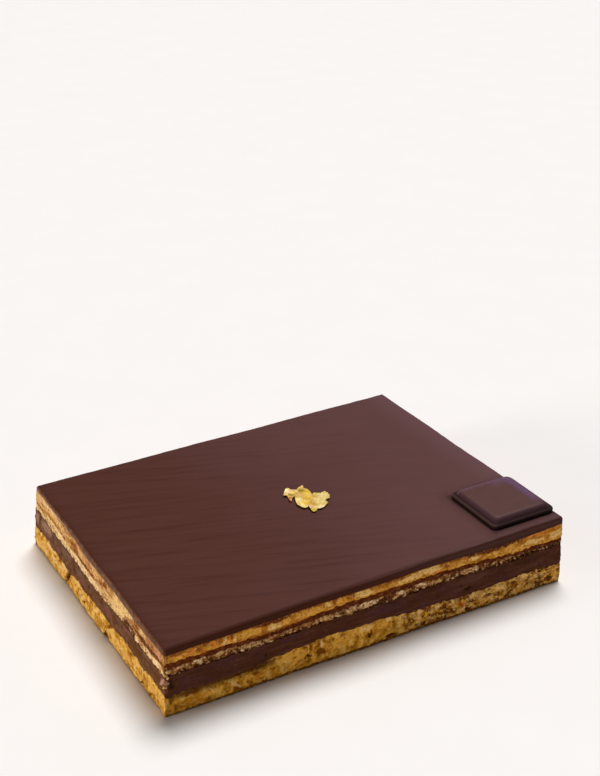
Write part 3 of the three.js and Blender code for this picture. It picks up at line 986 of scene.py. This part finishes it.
# %% The buttercream's finish
cream = CutFinish("coffee_buttercream", roughness=0.75, shine=0.04)
smears = cream.noise(4, detail=3, roughness=0.6, place=cream.stretched(0.7, 0.7, 1.2))
drags = cream.noise(2.2, detail=3, roughness=0.6, place=cream.stretched(1.4, 1.4, 0.6))
specks = cream.noise(1.4, detail=3, roughness=0.6)
ground = cream.tint(
    cream.ramp(smears, [
        (0.34, (170, 98, 24)), (0.46, (208, 138, 42)), (0.56, (230, 166, 64)),
        (0.68, (248, 194, 100))]),
    (cream.height.between(27.6, 29.6) * drags.between(0.54, 0.42) * 0.8, (158, 84, 26)),
    (1 - cream.front, cream.ramp(smears, [
        (0.36, (186, 128, 70)), (0.5, (212, 160, 98)), (0.62, (230, 184, 122))])),
    (cream.left * cream.left_way.between(70, 30) * 0.7, (158, 106, 66)))
cream.colour_from(cream.tint(
    cream.over(ground),
    (drags.between(0.46, 0.35) * 0.4, (140, 74, 20)),
    (specks.between(0.54, 0.66) * 0.3, (255, 214, 136)),
    (specks.between(0.46, 0.35) * 0.4, (140, 78, 22)),
    (cream.front * cream.height.between(29.3, 30.4) * 0.7, (118, 54, 18)),
    (cream.front * cream.front_way.between(140, 60) * cream.height.between(26.2, 25.4) * 0.6,
     (128, 62, 20)),
    # Painted shade: warmer and darker in pits, on undersides and deep in the relief.
    (cream.stored("pits").between(0.0, 0.1) * 0.7, (184, 106, 30)),
    (cream.stored("overhang").between(0.15, 0.6) * 0.6, (200, 120, 36)),
    (cream.stored("relief").between(-0.2, -0.55) * 0.7, (140, 74, 22))))
cream.bump_from(specks, 0.14)
hand_over(buttercream, cream, "coffee_buttercream")

# %% [markdown]
# ## Chocolate glaze
# Poured warm and levelled with a spatula, so the top is flat and satin with faint long streaks.
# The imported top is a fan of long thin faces, which would shade like a cushion. It is taken off
# and filled again with an even grid, which can carry the small waves that the spatula leaves.

# %% The glaze's shape
GLAZE_CUTS = 3
FRONT_SIDE_STEPS = 38
FLAT = 0.98
TOP, TOP_HEIGHTS, TOP_RIM = "top", (33.3, 33.5), (3, 20)
EDGE_RIM = 1.5, 3.5


def is_top(face):
    return face.normal.z > FLAT and face.center.z > (GLAZE_HIGH.z - 0.01) * MM


def cut_away(piece, unwanted):
    """Deletes the unwanted faces and stays in edit mode, with the open rim selected."""
    select_faces(piece, unwanted)
    bpy.ops.object.mode_set(mode="EDIT")
    bpy.ops.mesh.delete(type="FACE")
    bpy.ops.mesh.select_mode(type="VERT")
    bpy.ops.mesh.select_non_manifold(extend=False)


def refill_top(piece, columns):
    """Replaces the fan on top by a grid that starts at the front left corner."""
    cut_away(piece, is_top)
    sheet = bmesh.from_edit_mesh(piece.data)
    rim = [v for v in sheet.verts if v.select]
    sheet.select_history.clear()
    sheet.select_history.add(min(rim, key=lambda v: v.co.x + v.co.y))
    bmesh.update_edit_mesh(piece.data)
    bpy.ops.mesh.fill_grid(span=columns)
    bpy.ops.mesh.select_mode(type="FACE")
    bpy.ops.object.mode_set(mode="OBJECT")


glaze = copy_of_layer(
    "chocolate_glaze", "dark_glaze", GLAZE_CUTS, lambda f: f.normal.z > -STEEP and not is_top(f))
refill_top(glaze, FRONT_SIDE_STEPS * (GLAZE_CUTS + 1))
points = points_of(glaze) / MM
inside = np.minimum(
    np.minimum(points[:, 0] - GLAZE_LOW.x, GLAZE_HIGH.x - points[:, 0]),
    np.minimum(points[:, 1] - GLAZE_LOW.y, GLAZE_HIGH.y - points[:, 1]))
group_of(glaze, TOP, smooth(points[:, 2], *TOP_HEIGHTS) * smooth(inside, *TOP_RIM))
group_of(glaze, CUT_SIDES, 1 - smooth(inside, *EDGE_RIM))
press(glaze, clouds("spatula_waves", 26.0, 1), 0.16, TOP, "Z")
press(glaze, clouds("glaze_edge", 6.0, 2), 0.3)
print(f"{glaze.name}: {len(glaze.data.polygons)} faces")

# %% [markdown]
# Faint streaks run the way the spatula went. The tone warms towards the left, and a painted
# sheen greys it towards the right and along the right edge. A painted shadow darkens it round
# the chocolate square, and painted shade darkens the front edge against its bright reflection.
# That edge is also rougher than the top, because a sharp bright line along it would look like
# plastic. A painted highlight lies on the front edge towards its right end. The sides are painted
# by place; the left side is paler, partly from smeared cream and partly as a painted highlight.

# %% The glaze's finish
SPATULA_TURN = math.radians(-18)
gloss = CutFinish("dark_glaze", roughness=0.42, shine=0.07)
streaks = gloss.noise(6, detail=4, place=gloss.stretched(0.17, 2.4, 1, turn=SPATULA_TURN))
drags = gloss.noise(3, detail=4, roughness=0.6)
side = gloss.z.between(33.2, 32.6)
# A painted sheen: the tone greys towards the right.
painted_sheen = (gloss.front_way + (gloss.noise(60, detail=2) - 0.5) * 90).between(30, 190)
SQUARE_LOW, SQUARE_HIGH = (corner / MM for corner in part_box("chocolate_square"))


def round_square(finish, reach, soft):
    """1 under the chocolate square, fading over soft millimetres, reach outside its foot."""
    across = finish.x.within(SQUARE_LOW.x - reach, SQUARE_HIGH.x + reach, soft)
    return across * finish.y.within(SQUARE_LOW.y - reach, SQUARE_HIGH.y + reach, soft)


near_edge = gloss.y.between(GLAZE_LOW.y + 3, GLAZE_LOW.y + 1.6)
dull_edge = near_edge * gloss.front_way.between(150, 100)
painted_edge_highlight = gloss.y.between(GLAZE_LOW.y + 1.5, GLAZE_LOW.y + 0.4) * gloss.z.between(32.7, 33.1)
gloss.colour_from(gloss.tint(
    gloss.blend(painted_sheen, (77, 41, 32), (89, 57, 56)),
    (streaks.between(0.35, 0.65) * 0.09, (104, 66, 56)),
    (streaks.between(0.45, 0.34) * (1 - painted_sheen) * 0.3, (62, 30, 22)),
    # Painted sheen along the right edge.
    (gloss.x.between(GLAZE_HIGH.x - 18, GLAZE_HIGH.x) * 0.36, (108, 78, 86)),
    (gloss.x.between(GLAZE_LOW.x + 7, GLAZE_LOW.x) * 0.3, (62, 34, 20)),
    # Painted shade along the front edge, against its bright reflection.
    (gloss.y.between(GLAZE_LOW.y + 4, GLAZE_LOW.y + 1) * 0.35, (62, 34, 28)),
    # A painted highlight on the rounded front edge, towards its right end.
    (painted_edge_highlight * gloss.front_way.between(80, 160), (116, 84, 86)),
    # A painted shadow round the chocolate square.
    (round_square(gloss, 3.5, 9) * 0.4, (54, 32, 26)),
    (round_square(gloss, 1.2, 2.6) * 0.6, (38, 20, 14)),
    (side * gloss.front, gloss.blend(painted_sheen, (71, 35, 20), (78, 42, 32))),
    # The left side is paler, partly from smeared cream and partly as a painted highlight.
    (side * gloss.left, gloss.ramp(drags, [
        (0.36, (76, 40, 18)), (0.5, (94, 55, 32)), (0.64, (122, 78, 48))])),
    (gloss.left * gloss.height.between(31.3, 30.3) * gloss.left_way.between(110, 90) * 0.5,
     (108, 64, 32)),
    (gloss.left * gloss.z.between(31.6, 30.6) * gloss.left_way.between(104, 116) * 0.9,
     (204, 158, 106)),
    (side * gloss.front * gloss.z.between(31, 29.8) * 0.6, (56, 22, 8))))
gloss.roughness_from(streaks * 0.14 + dull_edge * 0.4 + 0.36)
gloss.bump_from(streaks, 0.1)
hand_over(glaze, gloss, "chocolate_glaze", sharp=60)

# %% [markdown]
# ## Loose crumbs
# The knife leaves crumbs on the cut sides. One small cube is rounded and pressed uneven three
# ways, and the three are copied by the hundred, each turned and scaled by chance and sunk a
# little into the side. The draws come from one seeded source, so each run is the same.

# %% Three rough crumbs
CRUMB_RADIUS = 0.5
ROUNDNESS = 0.7


def rough_crumb(name, seed):
    """A small uneven lump of a few dozen faces, around the origin."""
    bpy.ops.object.select_all(action="DESELECT")
    bpy.ops.mesh.primitive_cube_add(size=2 * CRUMB_RADIUS * MM)
    crumb = bpy.context.object
    crumb.name = name
    bpy.ops.object.mode_set(mode="EDIT")
    bpy.ops.mesh.subdivide(number_cuts=2)
    bpy.ops.transform.tosphere(value=ROUNDNESS)
    bpy.ops.object.mode_set(mode="OBJECT")
    shape = clouds(name, 0.35 + 0.1 * seed, 1)
    group_of(crumb, CUT_SIDES, np.ones(len(crumb.data.vertices)))
    press(crumb, shape, 0.5)
    crumb.vertex_groups.clear()
    return crumb


ROUGH_CRUMBS = [rough_crumb(f"rough_crumb_{i}", i) for i in range(3)]
print("faces of a crumb:", [len(crumb.data.polygons) for crumb in ROUGH_CRUMBS])

# %% Scattering crumbs over a side
CRUMB_SIZES, CRUMB_SHAPES = (0.6, 1.5), (0.7, 1.3)
FULL_TURN = 6.3
SUNK = 0.36
LEVEL = 0.8


def scatter_crumbs(name, draws, stretches):
    """One piece of crumbs; a stretch is (layer, side, start, end, low, high, count, size)."""
    copies = []
    for layer, side, start, end, low, high, count, size in stretches:
        points, normals = points_of(layer), normals_of(layer)
        along, height = way_along(points / MM, side), points[:, 2] / MM
        here = near_side(points / MM, side) & (np.abs(normals[:, 2]) < LEVEL)
        here &= (along > start) & (along < end) & (height > low) & (height < high)
        places = np.flatnonzero(here)
        for _ in range(count if len(places) else 0):
            at = draws.choice(places)
            scale = size * draws.uniform(*CRUMB_SIZES)
            angle = draws.uniform(0, FULL_TURN)
            axis = Vector([draws.gauss(0, 1) for _ in range(3)]).normalized()
            turn = Matrix.Rotation(angle, 4, axis)
            shape = Matrix.Diagonal(
                [scale * draws.uniform(*CRUMB_SHAPES) for _ in range(3)] + [1])
            sunk = Vector(points[at]) - Vector(normals[at]) * (SUNK * scale * MM)
            copy = bpy.data.objects.new(name, draws.choice(ROUGH_CRUMBS).data.copy())
            copy.data.transform(Matrix.Translation(sunk) @ turn @ shape)
            keep_number(copy, "tone", np.full(len(copy.data.vertices), draws.random()))
            bpy.context.scene.collection.objects.link(copy)
            copies.append(copy)
    bpy.ops.object.select_all(action="DESELECT")
    for copy in copies:
        copy.select_set(True)
    bpy.context.view_layer.objects.active = copies[0]
    bpy.ops.object.join()
    piece = bpy.context.object
    piece.name = name
    print(f"{name}: {len(copies)} crumbs, {len(piece.data.polygons)} faces")
    return piece


# %% Where crumbs lie and how they look
def on_daubs(layer, daubs, wanted, each, size):
    """A stretch for each oval of the wanted tones, with each crumbs to a square millimetre."""
    return [
        (layer, "front", along - length / 2, along + length / 2, up - tall / 2, up + tall / 2,
         round(each * length * tall), size)
        for tone, ovals in daubs if tone in wanted for along, up, length, tall, *lean in ovals]


def crumb_finish(name, stops):
    """A finish by the tone that each crumb keeps, with a little grain."""
    finish = Finish(name, roughness=0.9, shine=0.03)
    tone = finish.stored("tone") * 0.8 + finish.noise(1.0, detail=2) * 0.2
    finish.colour_from(finish.ramp(tone, stops))
    return finish


# %% Pale and golden crumbs
draws = random.Random(7)
pale_crumbs = scatter_crumbs("pale_crumbs", draws, [
    *on_daubs(middle_sponge, CRUMB_FRONT, (LOOSE_PALE, LOOSE_DULL), 0.7, 0.85),
    *on_daubs(bottom_sponge, SPONGE_FRONT, (PALE_CRUMB,), 0.15, 0.9),
    (ganache, "front", -1, 1.5, 14.5, 18.5, 2, 1.0),
    (ganache, "left", -1, 1.5, 14.5, 18.5, 2, 0.9),
    (middle_sponge, "front", -1, 2, 19.5, 24.0, 4, 1.1),
    (middle_sponge, "left", -1, 2, 19.5, 24.0, 3, 1.1),
    (middle_sponge, "left", 57, 68, 18.8, 22.0, 5, 1.0),
    (middle_sponge, "right", 4, 144, 20.0, 22.6, 60, 1.0),
    (middle_sponge, "back", 4, 194, 20.2, 22.8, 80, 1.0),
])
pale_stops = [(0.1, (176, 118, 58)), (0.5, (208, 156, 94)), (0.9, (234, 192, 134))]
hand_over(pale_crumbs, crumb_finish("pale_loose_crumb", pale_stops))

golden_crumbs = scatter_crumbs("golden_crumbs", draws, [
    (bottom_sponge, side, start, 200, 1.6, 9.5, count, 1.0)
    for side, start, count in (
        ("front", 50, 100), ("left", 0, 60), ("right", 0, 110), ("back", 0, 150))
])
golden_stops = [(0.1, (196, 126, 34)), (0.5, (226, 164, 58)), (0.9, (246, 200, 110))]
hand_over(golden_crumbs, crumb_finish("golden_loose_crumb", golden_stops))

for crumb in ROUGH_CRUMBS:
    bpy.data.objects.remove(crumb)

# %% [markdown]
# ## Chocolate square
# Tempered chocolate from a mould: a low wall, a narrow rim, and a steep bevel that rounds over
# into a flat face. A cube gets round upright corners, and its top face is extruded and narrowed
# ring by ring, as the mould is cut. The rings are scaled rather than inset, so the corners stay
# round.

# %% The square's shape
SQUARE_SIDE = 35
SQUARE_WALL = 1.5
SQUARE_CORNER = 3
SQUARE_TURN = math.radians(-0.6)
SQUARE_RINGS = [
    (0.1, 1.75), (0.35, 1.97), (0.7, 2.08), (1.1, 2.1), (1.4, 2.3), (1.8, 2.85), (2.2, 3.35),
    (2.6, 3.8), (3.0, 4.05), (3.5, 4.22), (4.2, 4.34), (5.2, 4.4), (9.0, 4.4), (13.0, 4.4)]

foot = Vector((
    (SQUARE_LOW.x + SQUARE_HIGH.x) / 2, (SQUARE_LOW.y + SQUARE_HIGH.y) / 2, SQUARE_LOW.z))
bpy.ops.object.select_all(action="DESELECT")
bpy.ops.mesh.primitive_cube_add(
    size=1, location=(foot + Vector((0, 0, SQUARE_WALL / 2))) * MM,
    scale=(SQUARE_SIDE * MM, SQUARE_SIDE * MM, SQUARE_WALL * MM))
square = bpy.context.object
square.name = "tempered_square"
bpy.ops.object.transform_apply(location=True, rotation=True, scale=True)
select_faces(square, lambda face: False)
for edge in square.data.edges:
    first, second = (square.data.vertices[i].co for i in edge.vertices)
    edge.select = abs(first.z - second.z) > MM
bpy.ops.object.mode_set(mode="EDIT")
bpy.ops.mesh.select_mode(type="EDGE")
bpy.ops.mesh.bevel(offset=SQUARE_CORNER * MM, segments=8)
bpy.ops.mesh.select_mode(type="FACE")
bpy.ops.object.mode_set(mode="OBJECT")
select_faces(square, lambda face: face.normal.z > 0.9)
bpy.ops.object.mode_set(mode="EDIT")
inset, rise = 0.0, SQUARE_WALL
for next_inset, next_rise in SQUARE_RINGS:
    share = (SQUARE_SIDE - 2 * next_inset) / (SQUARE_SIDE - 2 * inset)
    bpy.ops.mesh.extrude_region_move(
        TRANSFORM_OT_translate={"value": (0, 0, (next_rise - rise) * MM)})
    bpy.ops.transform.resize(
        value=(share, share, 1), center_override=(foot + Vector((0, 0, next_rise))) * MM)
    inset, rise = next_inset, next_rise
bpy.ops.mesh.select_all(action="SELECT")
bpy.ops.mesh.normals_make_consistent(inside=False)
bpy.ops.transform.rotate(
    value=-SQUARE_TURN, orient_axis="Z", center_override=foot * MM)
bpy.ops.object.mode_set(mode="OBJECT")
print(f"{square.name}: {len(square.data.polygons)} faces")

# %% [markdown]
# The face is a cloudy brown with a painted violet reflection towards its far and right edges.
# The bevel is painted in shade by height alone, as each ring of the mould leans its own way and
# so meets the light its own way. It is painted nearly black low down, where a glossy slope
# mirrors the dark room, and the rim that faces the window gets a painted highlight.

# %% The square's finish
tempered = Finish("tempered_chocolate", roughness=0.36, shine=0.1)
cloudy = tempered.noise(8, detail=3)
rise = tempered.z - foot.z
along, across = tempered.x - foot.x, tempered.y - foot.y
reflection_wobble = (tempered.noise(2.5, detail=3) - 0.5) * 6
face_tone_and_reflection = tempered.tint(
    tempered.blend(cloudy, (80, 51, 47), (90, 59, 55)),
    # Painted violet reflections of the cool light near the far and right edges.
    ((along + reflection_wobble * 0.5).between(8.5, 12.5) * across.between(-15, -4) * 0.8,
     (100, 73, 108)),
    ((across + reflection_wobble).between(11.5, 14.5) * 0.4, (112, 84, 98)),
    ((across + reflection_wobble).between(6, 12) * along.between(-2, 8) * 0.5, (98, 70, 98)))
# Painted shade on the bevel, by height, as each ring leans its own way.
painted_bevel_shade = tempered.ramp(rise * 0.2, [
    (0.1, (24, 12, 9)), (0.28, (42, 22, 17)), (0.36, (46, 27, 24)),
    (0.43, (38, 21, 20)), (0.62, (62, 38, 42)), (0.80, (72, 46, 50)),
    (0.87, (74, 46, 47))])
# Painted violet reflection on the far bevels.
far_side = (across.between(13, 14.5) + along.between(13, 14.5) * across.between(-14, 4)) * 0.6
# Painted highlight on the rim that faces the window.
lit_rim = along.between(-15.4, -16.4) * rise.within(1.55, 2.08, 0.3)
tempered.colour_from(tempered.tint(
    tempered.blend(rise.between(4.05, 4.37), painted_bevel_shade, face_tone_and_reflection),
    (far_side * rise.between(2.4, 3.2), (104, 76, 100)),
    (lit_rim * 0.5, (82, 56, 48))))
tempered.roughness_from(cloudy * 0.14 + 0.3 + rise.between(4.36, 3.9) * 0.34)
tempered.bump_from(cloudy, 0.12)
hand_over(square, tempered, "chocolate_square", sharp=60)

# %% [markdown]
# ## Gold leaf
# A torn scrap, crumpled by the tweezers: a small folded tail, a cupped middle and a wing with
# fine creases. Each part is a fine grid cut to its torn outline, whose rim is pulled onto the
# outline. Foil folds into flat facets with sharp creases. The two nearest of scattered points
# give that: how much farther the second lies than the first is the height. Solidify gives the
# film a thickness, though more than the real one has.

# %% The leaf's torn outlines
TAIL = [
    (-2.0, 4.4), (0.2, 7.4), (1.8, 9.1), (3.1, 9.6), (3.7, 7.6), (5.7, 5.9), (6.4, 4.2),
    (4.9, 3.7), (3.2, 2.2), (1.5, 1.1), (0.3, 0.2), (-0.6, -1.2), (-1.5, -1.5), (-1.2, 1.1),
    (-0.4, 3.2), (-0.6, 3.9)]
MIDDLE = [
    (1.4, -0.6), (2.6, 1.8), (4.5, 4.3), (6.3, 6.3), (8.1, 7.9), (9.6, 8.0), (11.2, 9.7),
    (11.0, 8.4), (10.0, 6.2), (11.0, 4.4), (11.0, 2.1), (10.5, -0.8), (9.4, -3.2), (8.8, -4.9),
    (7.0, -6.9), (4.7, -8.5), (3.2, -9.9), (1.5, -10.1), (0.8, -9.5), (0.3, -8.2), (0.1, -6.8),
    (-0.3, -6.4), (0.0, -4.3)]
WING = [
    (3.4, -9.5), (5.5, -7.2), (8.0, -4.7), (9.6, -2.5), (10.9, -1.2), (12.4, -1.3),
    (14.5, -2.3), (15.4, -1.6), (16.1, -1.9), (16.7, -1.4), (17.4, -1.8), (17.4, -2.6),
    (17.9, -3.3), (17.5, -4.2), (17.6, -5.1), (16.1, -7.8), (14.4, -8.1), (13.0, -8.6),
    (13.4, -9.8), (13.3, -11.2), (10.3, -13.0), (8.0, -14.1), (6.3, -13.4), (4.8, -14.8),
    (3.5, -15.0), (2.9, -14.1), (3.1, -12.3)]
print("corners of the outlines:", len(TAIL), len(MIDDLE), len(WING))

# %% Places and outlines
def encloses(outline, x, y):
    """Whether a closed outline goes round a point, by counting the edges to its right."""
    crossings = 0
    for (ax, ay), (bx, by) in zip(outline, outline[1:] + outline[:1]):
        if (ay > y) != (by > y) and x < ax + (y - ay) / (by - ay) * (bx - ax):
            crossings += 1
    return crossings % 2 == 1


def slope(x, y, start, end):
    """How far along the way from start to end a place lies, from 0 to 1."""
    run = (end[0] - start[0], end[1] - start[1])
    share = ((x - start[0]) * run[0] + (y - start[1]) * run[1]) / (run[0] ** 2 + run[1] ** 2)
    return min(max(share, 0), 1)


def nearest_on(outline, x, y):
    """The nearest place to x, y on any edge of a closed outline."""
    best, best_gap = None, math.inf
    for start, end in zip(outline, outline[1:] + outline[:1]):
        share = slope(x, y, start, end)
        place = [s + share * (e - s) for s, e in zip(start, end)]
        gap = math.dist(place, (x, y))
        if gap < best_gap:
            best, best_gap = place, gap
    return best


print("is 5, 0 in the middle:", encloses(MIDDLE, 5, 0), "in the tail:", encloses(TAIL, 5, 0))

# %% Cutting a sheet to its outline
LEAF_CELL = 0.28
LEAF_FLOOR = GLAZE_HIGH.z + 0.12


def torn_sheet(name, outline, lift):
    """A film cut to an outline; lift(x, y) is its height over the glaze."""
    xs, ys = zip(*outline)
    width, depth = max(xs) - min(xs), max(ys) - min(ys)
    middle = Vector(((max(xs) + min(xs)) / 2, (max(ys) + min(ys)) / 2, LEAF_FLOOR)) * MM
    bpy.ops.object.select_all(action="DESELECT")
    bpy.ops.mesh.primitive_grid_add(
        x_subdivisions=math.ceil(width / LEAF_CELL), y_subdivisions=math.ceil(depth / LEAF_CELL),
        size=MM, location=middle)
    sheet = bpy.context.object
    sheet.name = name
    bpy.ops.transform.resize(value=(width, depth, 1), center_override=middle)
    bpy.ops.object.transform_apply(location=True, rotation=True, scale=True)
    cut_away(sheet, lambda face: not all(
        encloses(outline, v.x, v.y)
        for v in (sheet.data.vertices[i].co / MM for i in face.vertices)))
    bpy.ops.object.mode_set(mode="OBJECT")
    for vertex in sheet.data.vertices:
        x, y = vertex.co.x / MM, vertex.co.y / MM
        if vertex.select:
            x, y = nearest_on(outline, x, y)
        vertex.co = Vector((x, y, LEAF_FLOOR + lift(x, y))) * MM
    return sheet


# %% Folds and creases
def facets(x, y, fold, seed):
    """Flat facets about fold millimetres across, from 0 to about 1."""
    first, second = noise.voronoi(Vector((x / fold, y / fold, seed)))[0][:2]
    return second - first


def wrinkles(x, y, grain, seed):
    """Soft waves about grain millimetres long, from about -1 to 1."""
    return noise.noise(Vector((x / grain, y / grain, seed)))


def tail_lift(x, y):
    """The tail rises away from the middle and has a dent where it was pinched."""
    rise = 0.5 * slope(x, y, (1.0, -1.0), (2.0, 9.0))
    dent = math.exp(-((x - 1.5) / 0.9) ** 2 - ((y - 3.9) / 1.2) ** 2)
    folds = 0.3 * facets(x, y, 3.2, 1) + 0.25 * wrinkles(x, y, 2.0, 3)
    return 0.6 + rise - 0.4 * dent + folds


def middle_lift(x, y):
    """The middle bulges at its left and is cupped at its right."""
    dome = math.exp(-((x - 3.6) / 3.6) ** 2 - ((y + 1.5) / 5.0) ** 2)
    hollow = math.exp(-((x - 7.0) / 2.2) ** 2 - ((y + 3.0) / 3.0) ** 2)
    crease = 0.06 * abs(math.sin((x * 0.8 + y * 0.5) * 1.9))
    folds = 0.2 * facets(x, y, 4.4, 5) + 0.15 * wrinkles(x, y, 3.0, 8)
    return 0.7 + 0.55 * dome - 0.3 * hollow + folds + crease


def wing_lift(x, y):
    """The wing lies flat at its tips and has fine creases all one way."""
    across = x * math.sin(0.75) - y * math.cos(0.75)
    creases = 0.16 * abs(math.sin(across * 1.9))
    inner = 1 - slope(x, y, (6.5, -5.8), (9.5, -9.0))
    folds = 0.15 * facets(x, y, 4.4, 12) + 0.15 * wrinkles(x, y, 3.0, 15)
    return 0.5 + 0.7 * inner + folds + creases


# %% The leaf's shape
LEAF_FILM = 0.07
sheets = [
    torn_sheet("leaf_tail", TAIL, tail_lift),
    torn_sheet("leaf_middle", MIDDLE, middle_lift),
    torn_sheet("leaf_wing", WING, wing_lift),
]
only(sheets[1])
for sheet in sheets:
    sheet.select_set(True)
bpy.ops.object.join()
leaf = bpy.context.object
leaf.name = "crumpled_leaf"
bpy.ops.object.modifier_add(type="SOLIDIFY")
leaf.modifiers[-1].thickness = LEAF_FILM * MM
leaf.modifiers[-1].offset = 0
bpy.ops.object.modifier_apply(modifier=leaf.modifiers[-1].name)
print(f"{leaf.name}: {len(leaf.data.polygons)} faces")

# %% [markdown]
# Foil mirrors what is around it, so the tone of each fold is painted: pale, bright, deep yellow,
# rose, greenish and coppery as painted reflections, and darker where painted shade falls. The
# tones are laid as soft round areas, and fine creases go over them, painted darker in their folds
# and paler on their ridges.

# %% The leaf's finish
AREA_CORE = 0.35
gold = Finish("edible_gold", roughness=0.45, metallic=0.3, shine=0.4)


def close_to(x, y, reach):
    """1 round a place on the leaf, fading to 0 at reach millimetres."""
    sockets = {0: gold.place, 1: (x * MM, y * MM, LEAF_FLOOR * MM)}
    gap = gold.add("ShaderNodeVectorMath", {"operation": "DISTANCE"}, sockets, out="Value")
    return (gap * (1 / MM)).between(reach, reach * AREA_CORE)


creases = gold.noise(1.3, detail=4, roughness=0.6)
sheen = gold.noise(3.5, detail=2)
PALE_FOIL, BRIGHT_FOIL, ROSE_FOIL = (216, 196, 120), (238, 212, 160), (224, 176, 124)
DEEP_GOLD, SHADED_FOIL, COPPERY = (210, 172, 36), (140, 114, 0), (176, 104, 36)
GREENISH_FOIL = (190, 172, 40)
# Painted reflections and painted shade, fold by fold.
FOIL_REFLECTIONS_AND_SHADE = [
    (PALE_FOIL, [(2.0, -2.6, 3.4), (14.6, -4.2, 4.2), (11.0, -8.0, 3.8), (1.4, -8.1, 2.4)]),
    (DEEP_GOLD, [(6.6, -2.9, 3.6), (4.0, -6.8, 2.8), (8.8, 1.6, 3.4)]),
    (GREENISH_FOIL, [(4.0, -14.0, 2.6)]),
    (ROSE_FOIL, [(4.8, 1.0, 2.0), (3.8, -10.6, 2.6), (3.9, 6.2, 2.2), (9.2, -4.6, 1.8)]),
    (BRIGHT_FOIL, [(8.3, -12.9, 2.6), (1.2, 7.0, 2.8)]),
    (SHADED_FOIL, [(7.3, 4.1, 2.7), (0.8, -6.1, 1.3), (1.5, 3.9, 2.2)]),
    (COPPERY, [(-0.5, 0.4, 2.8)]),
]
straw = gold.ramp(sheen, [(0.36, (188, 146, 44)), (0.62, (212, 182, 96))])
gold.colour_from(gold.tint(
    straw,
    *((close_to(*spot), tone) for tone, spots in FOIL_REFLECTIONS_AND_SHADE for spot in spots),
    # Painted shade in the creases and a painted highlight on their ridges.
    (creases.between(0.44, 0.3) * 0.12, (176, 136, 24)),
    (creases.between(0.56, 0.68) * 0.2, (240, 220, 160))))
gold.roughness_from(creases * 0.2 + 0.4)
gold.bump_from(creases, 0.05)
hand_over(leaf, gold, "gold_leaf", sharp=35)
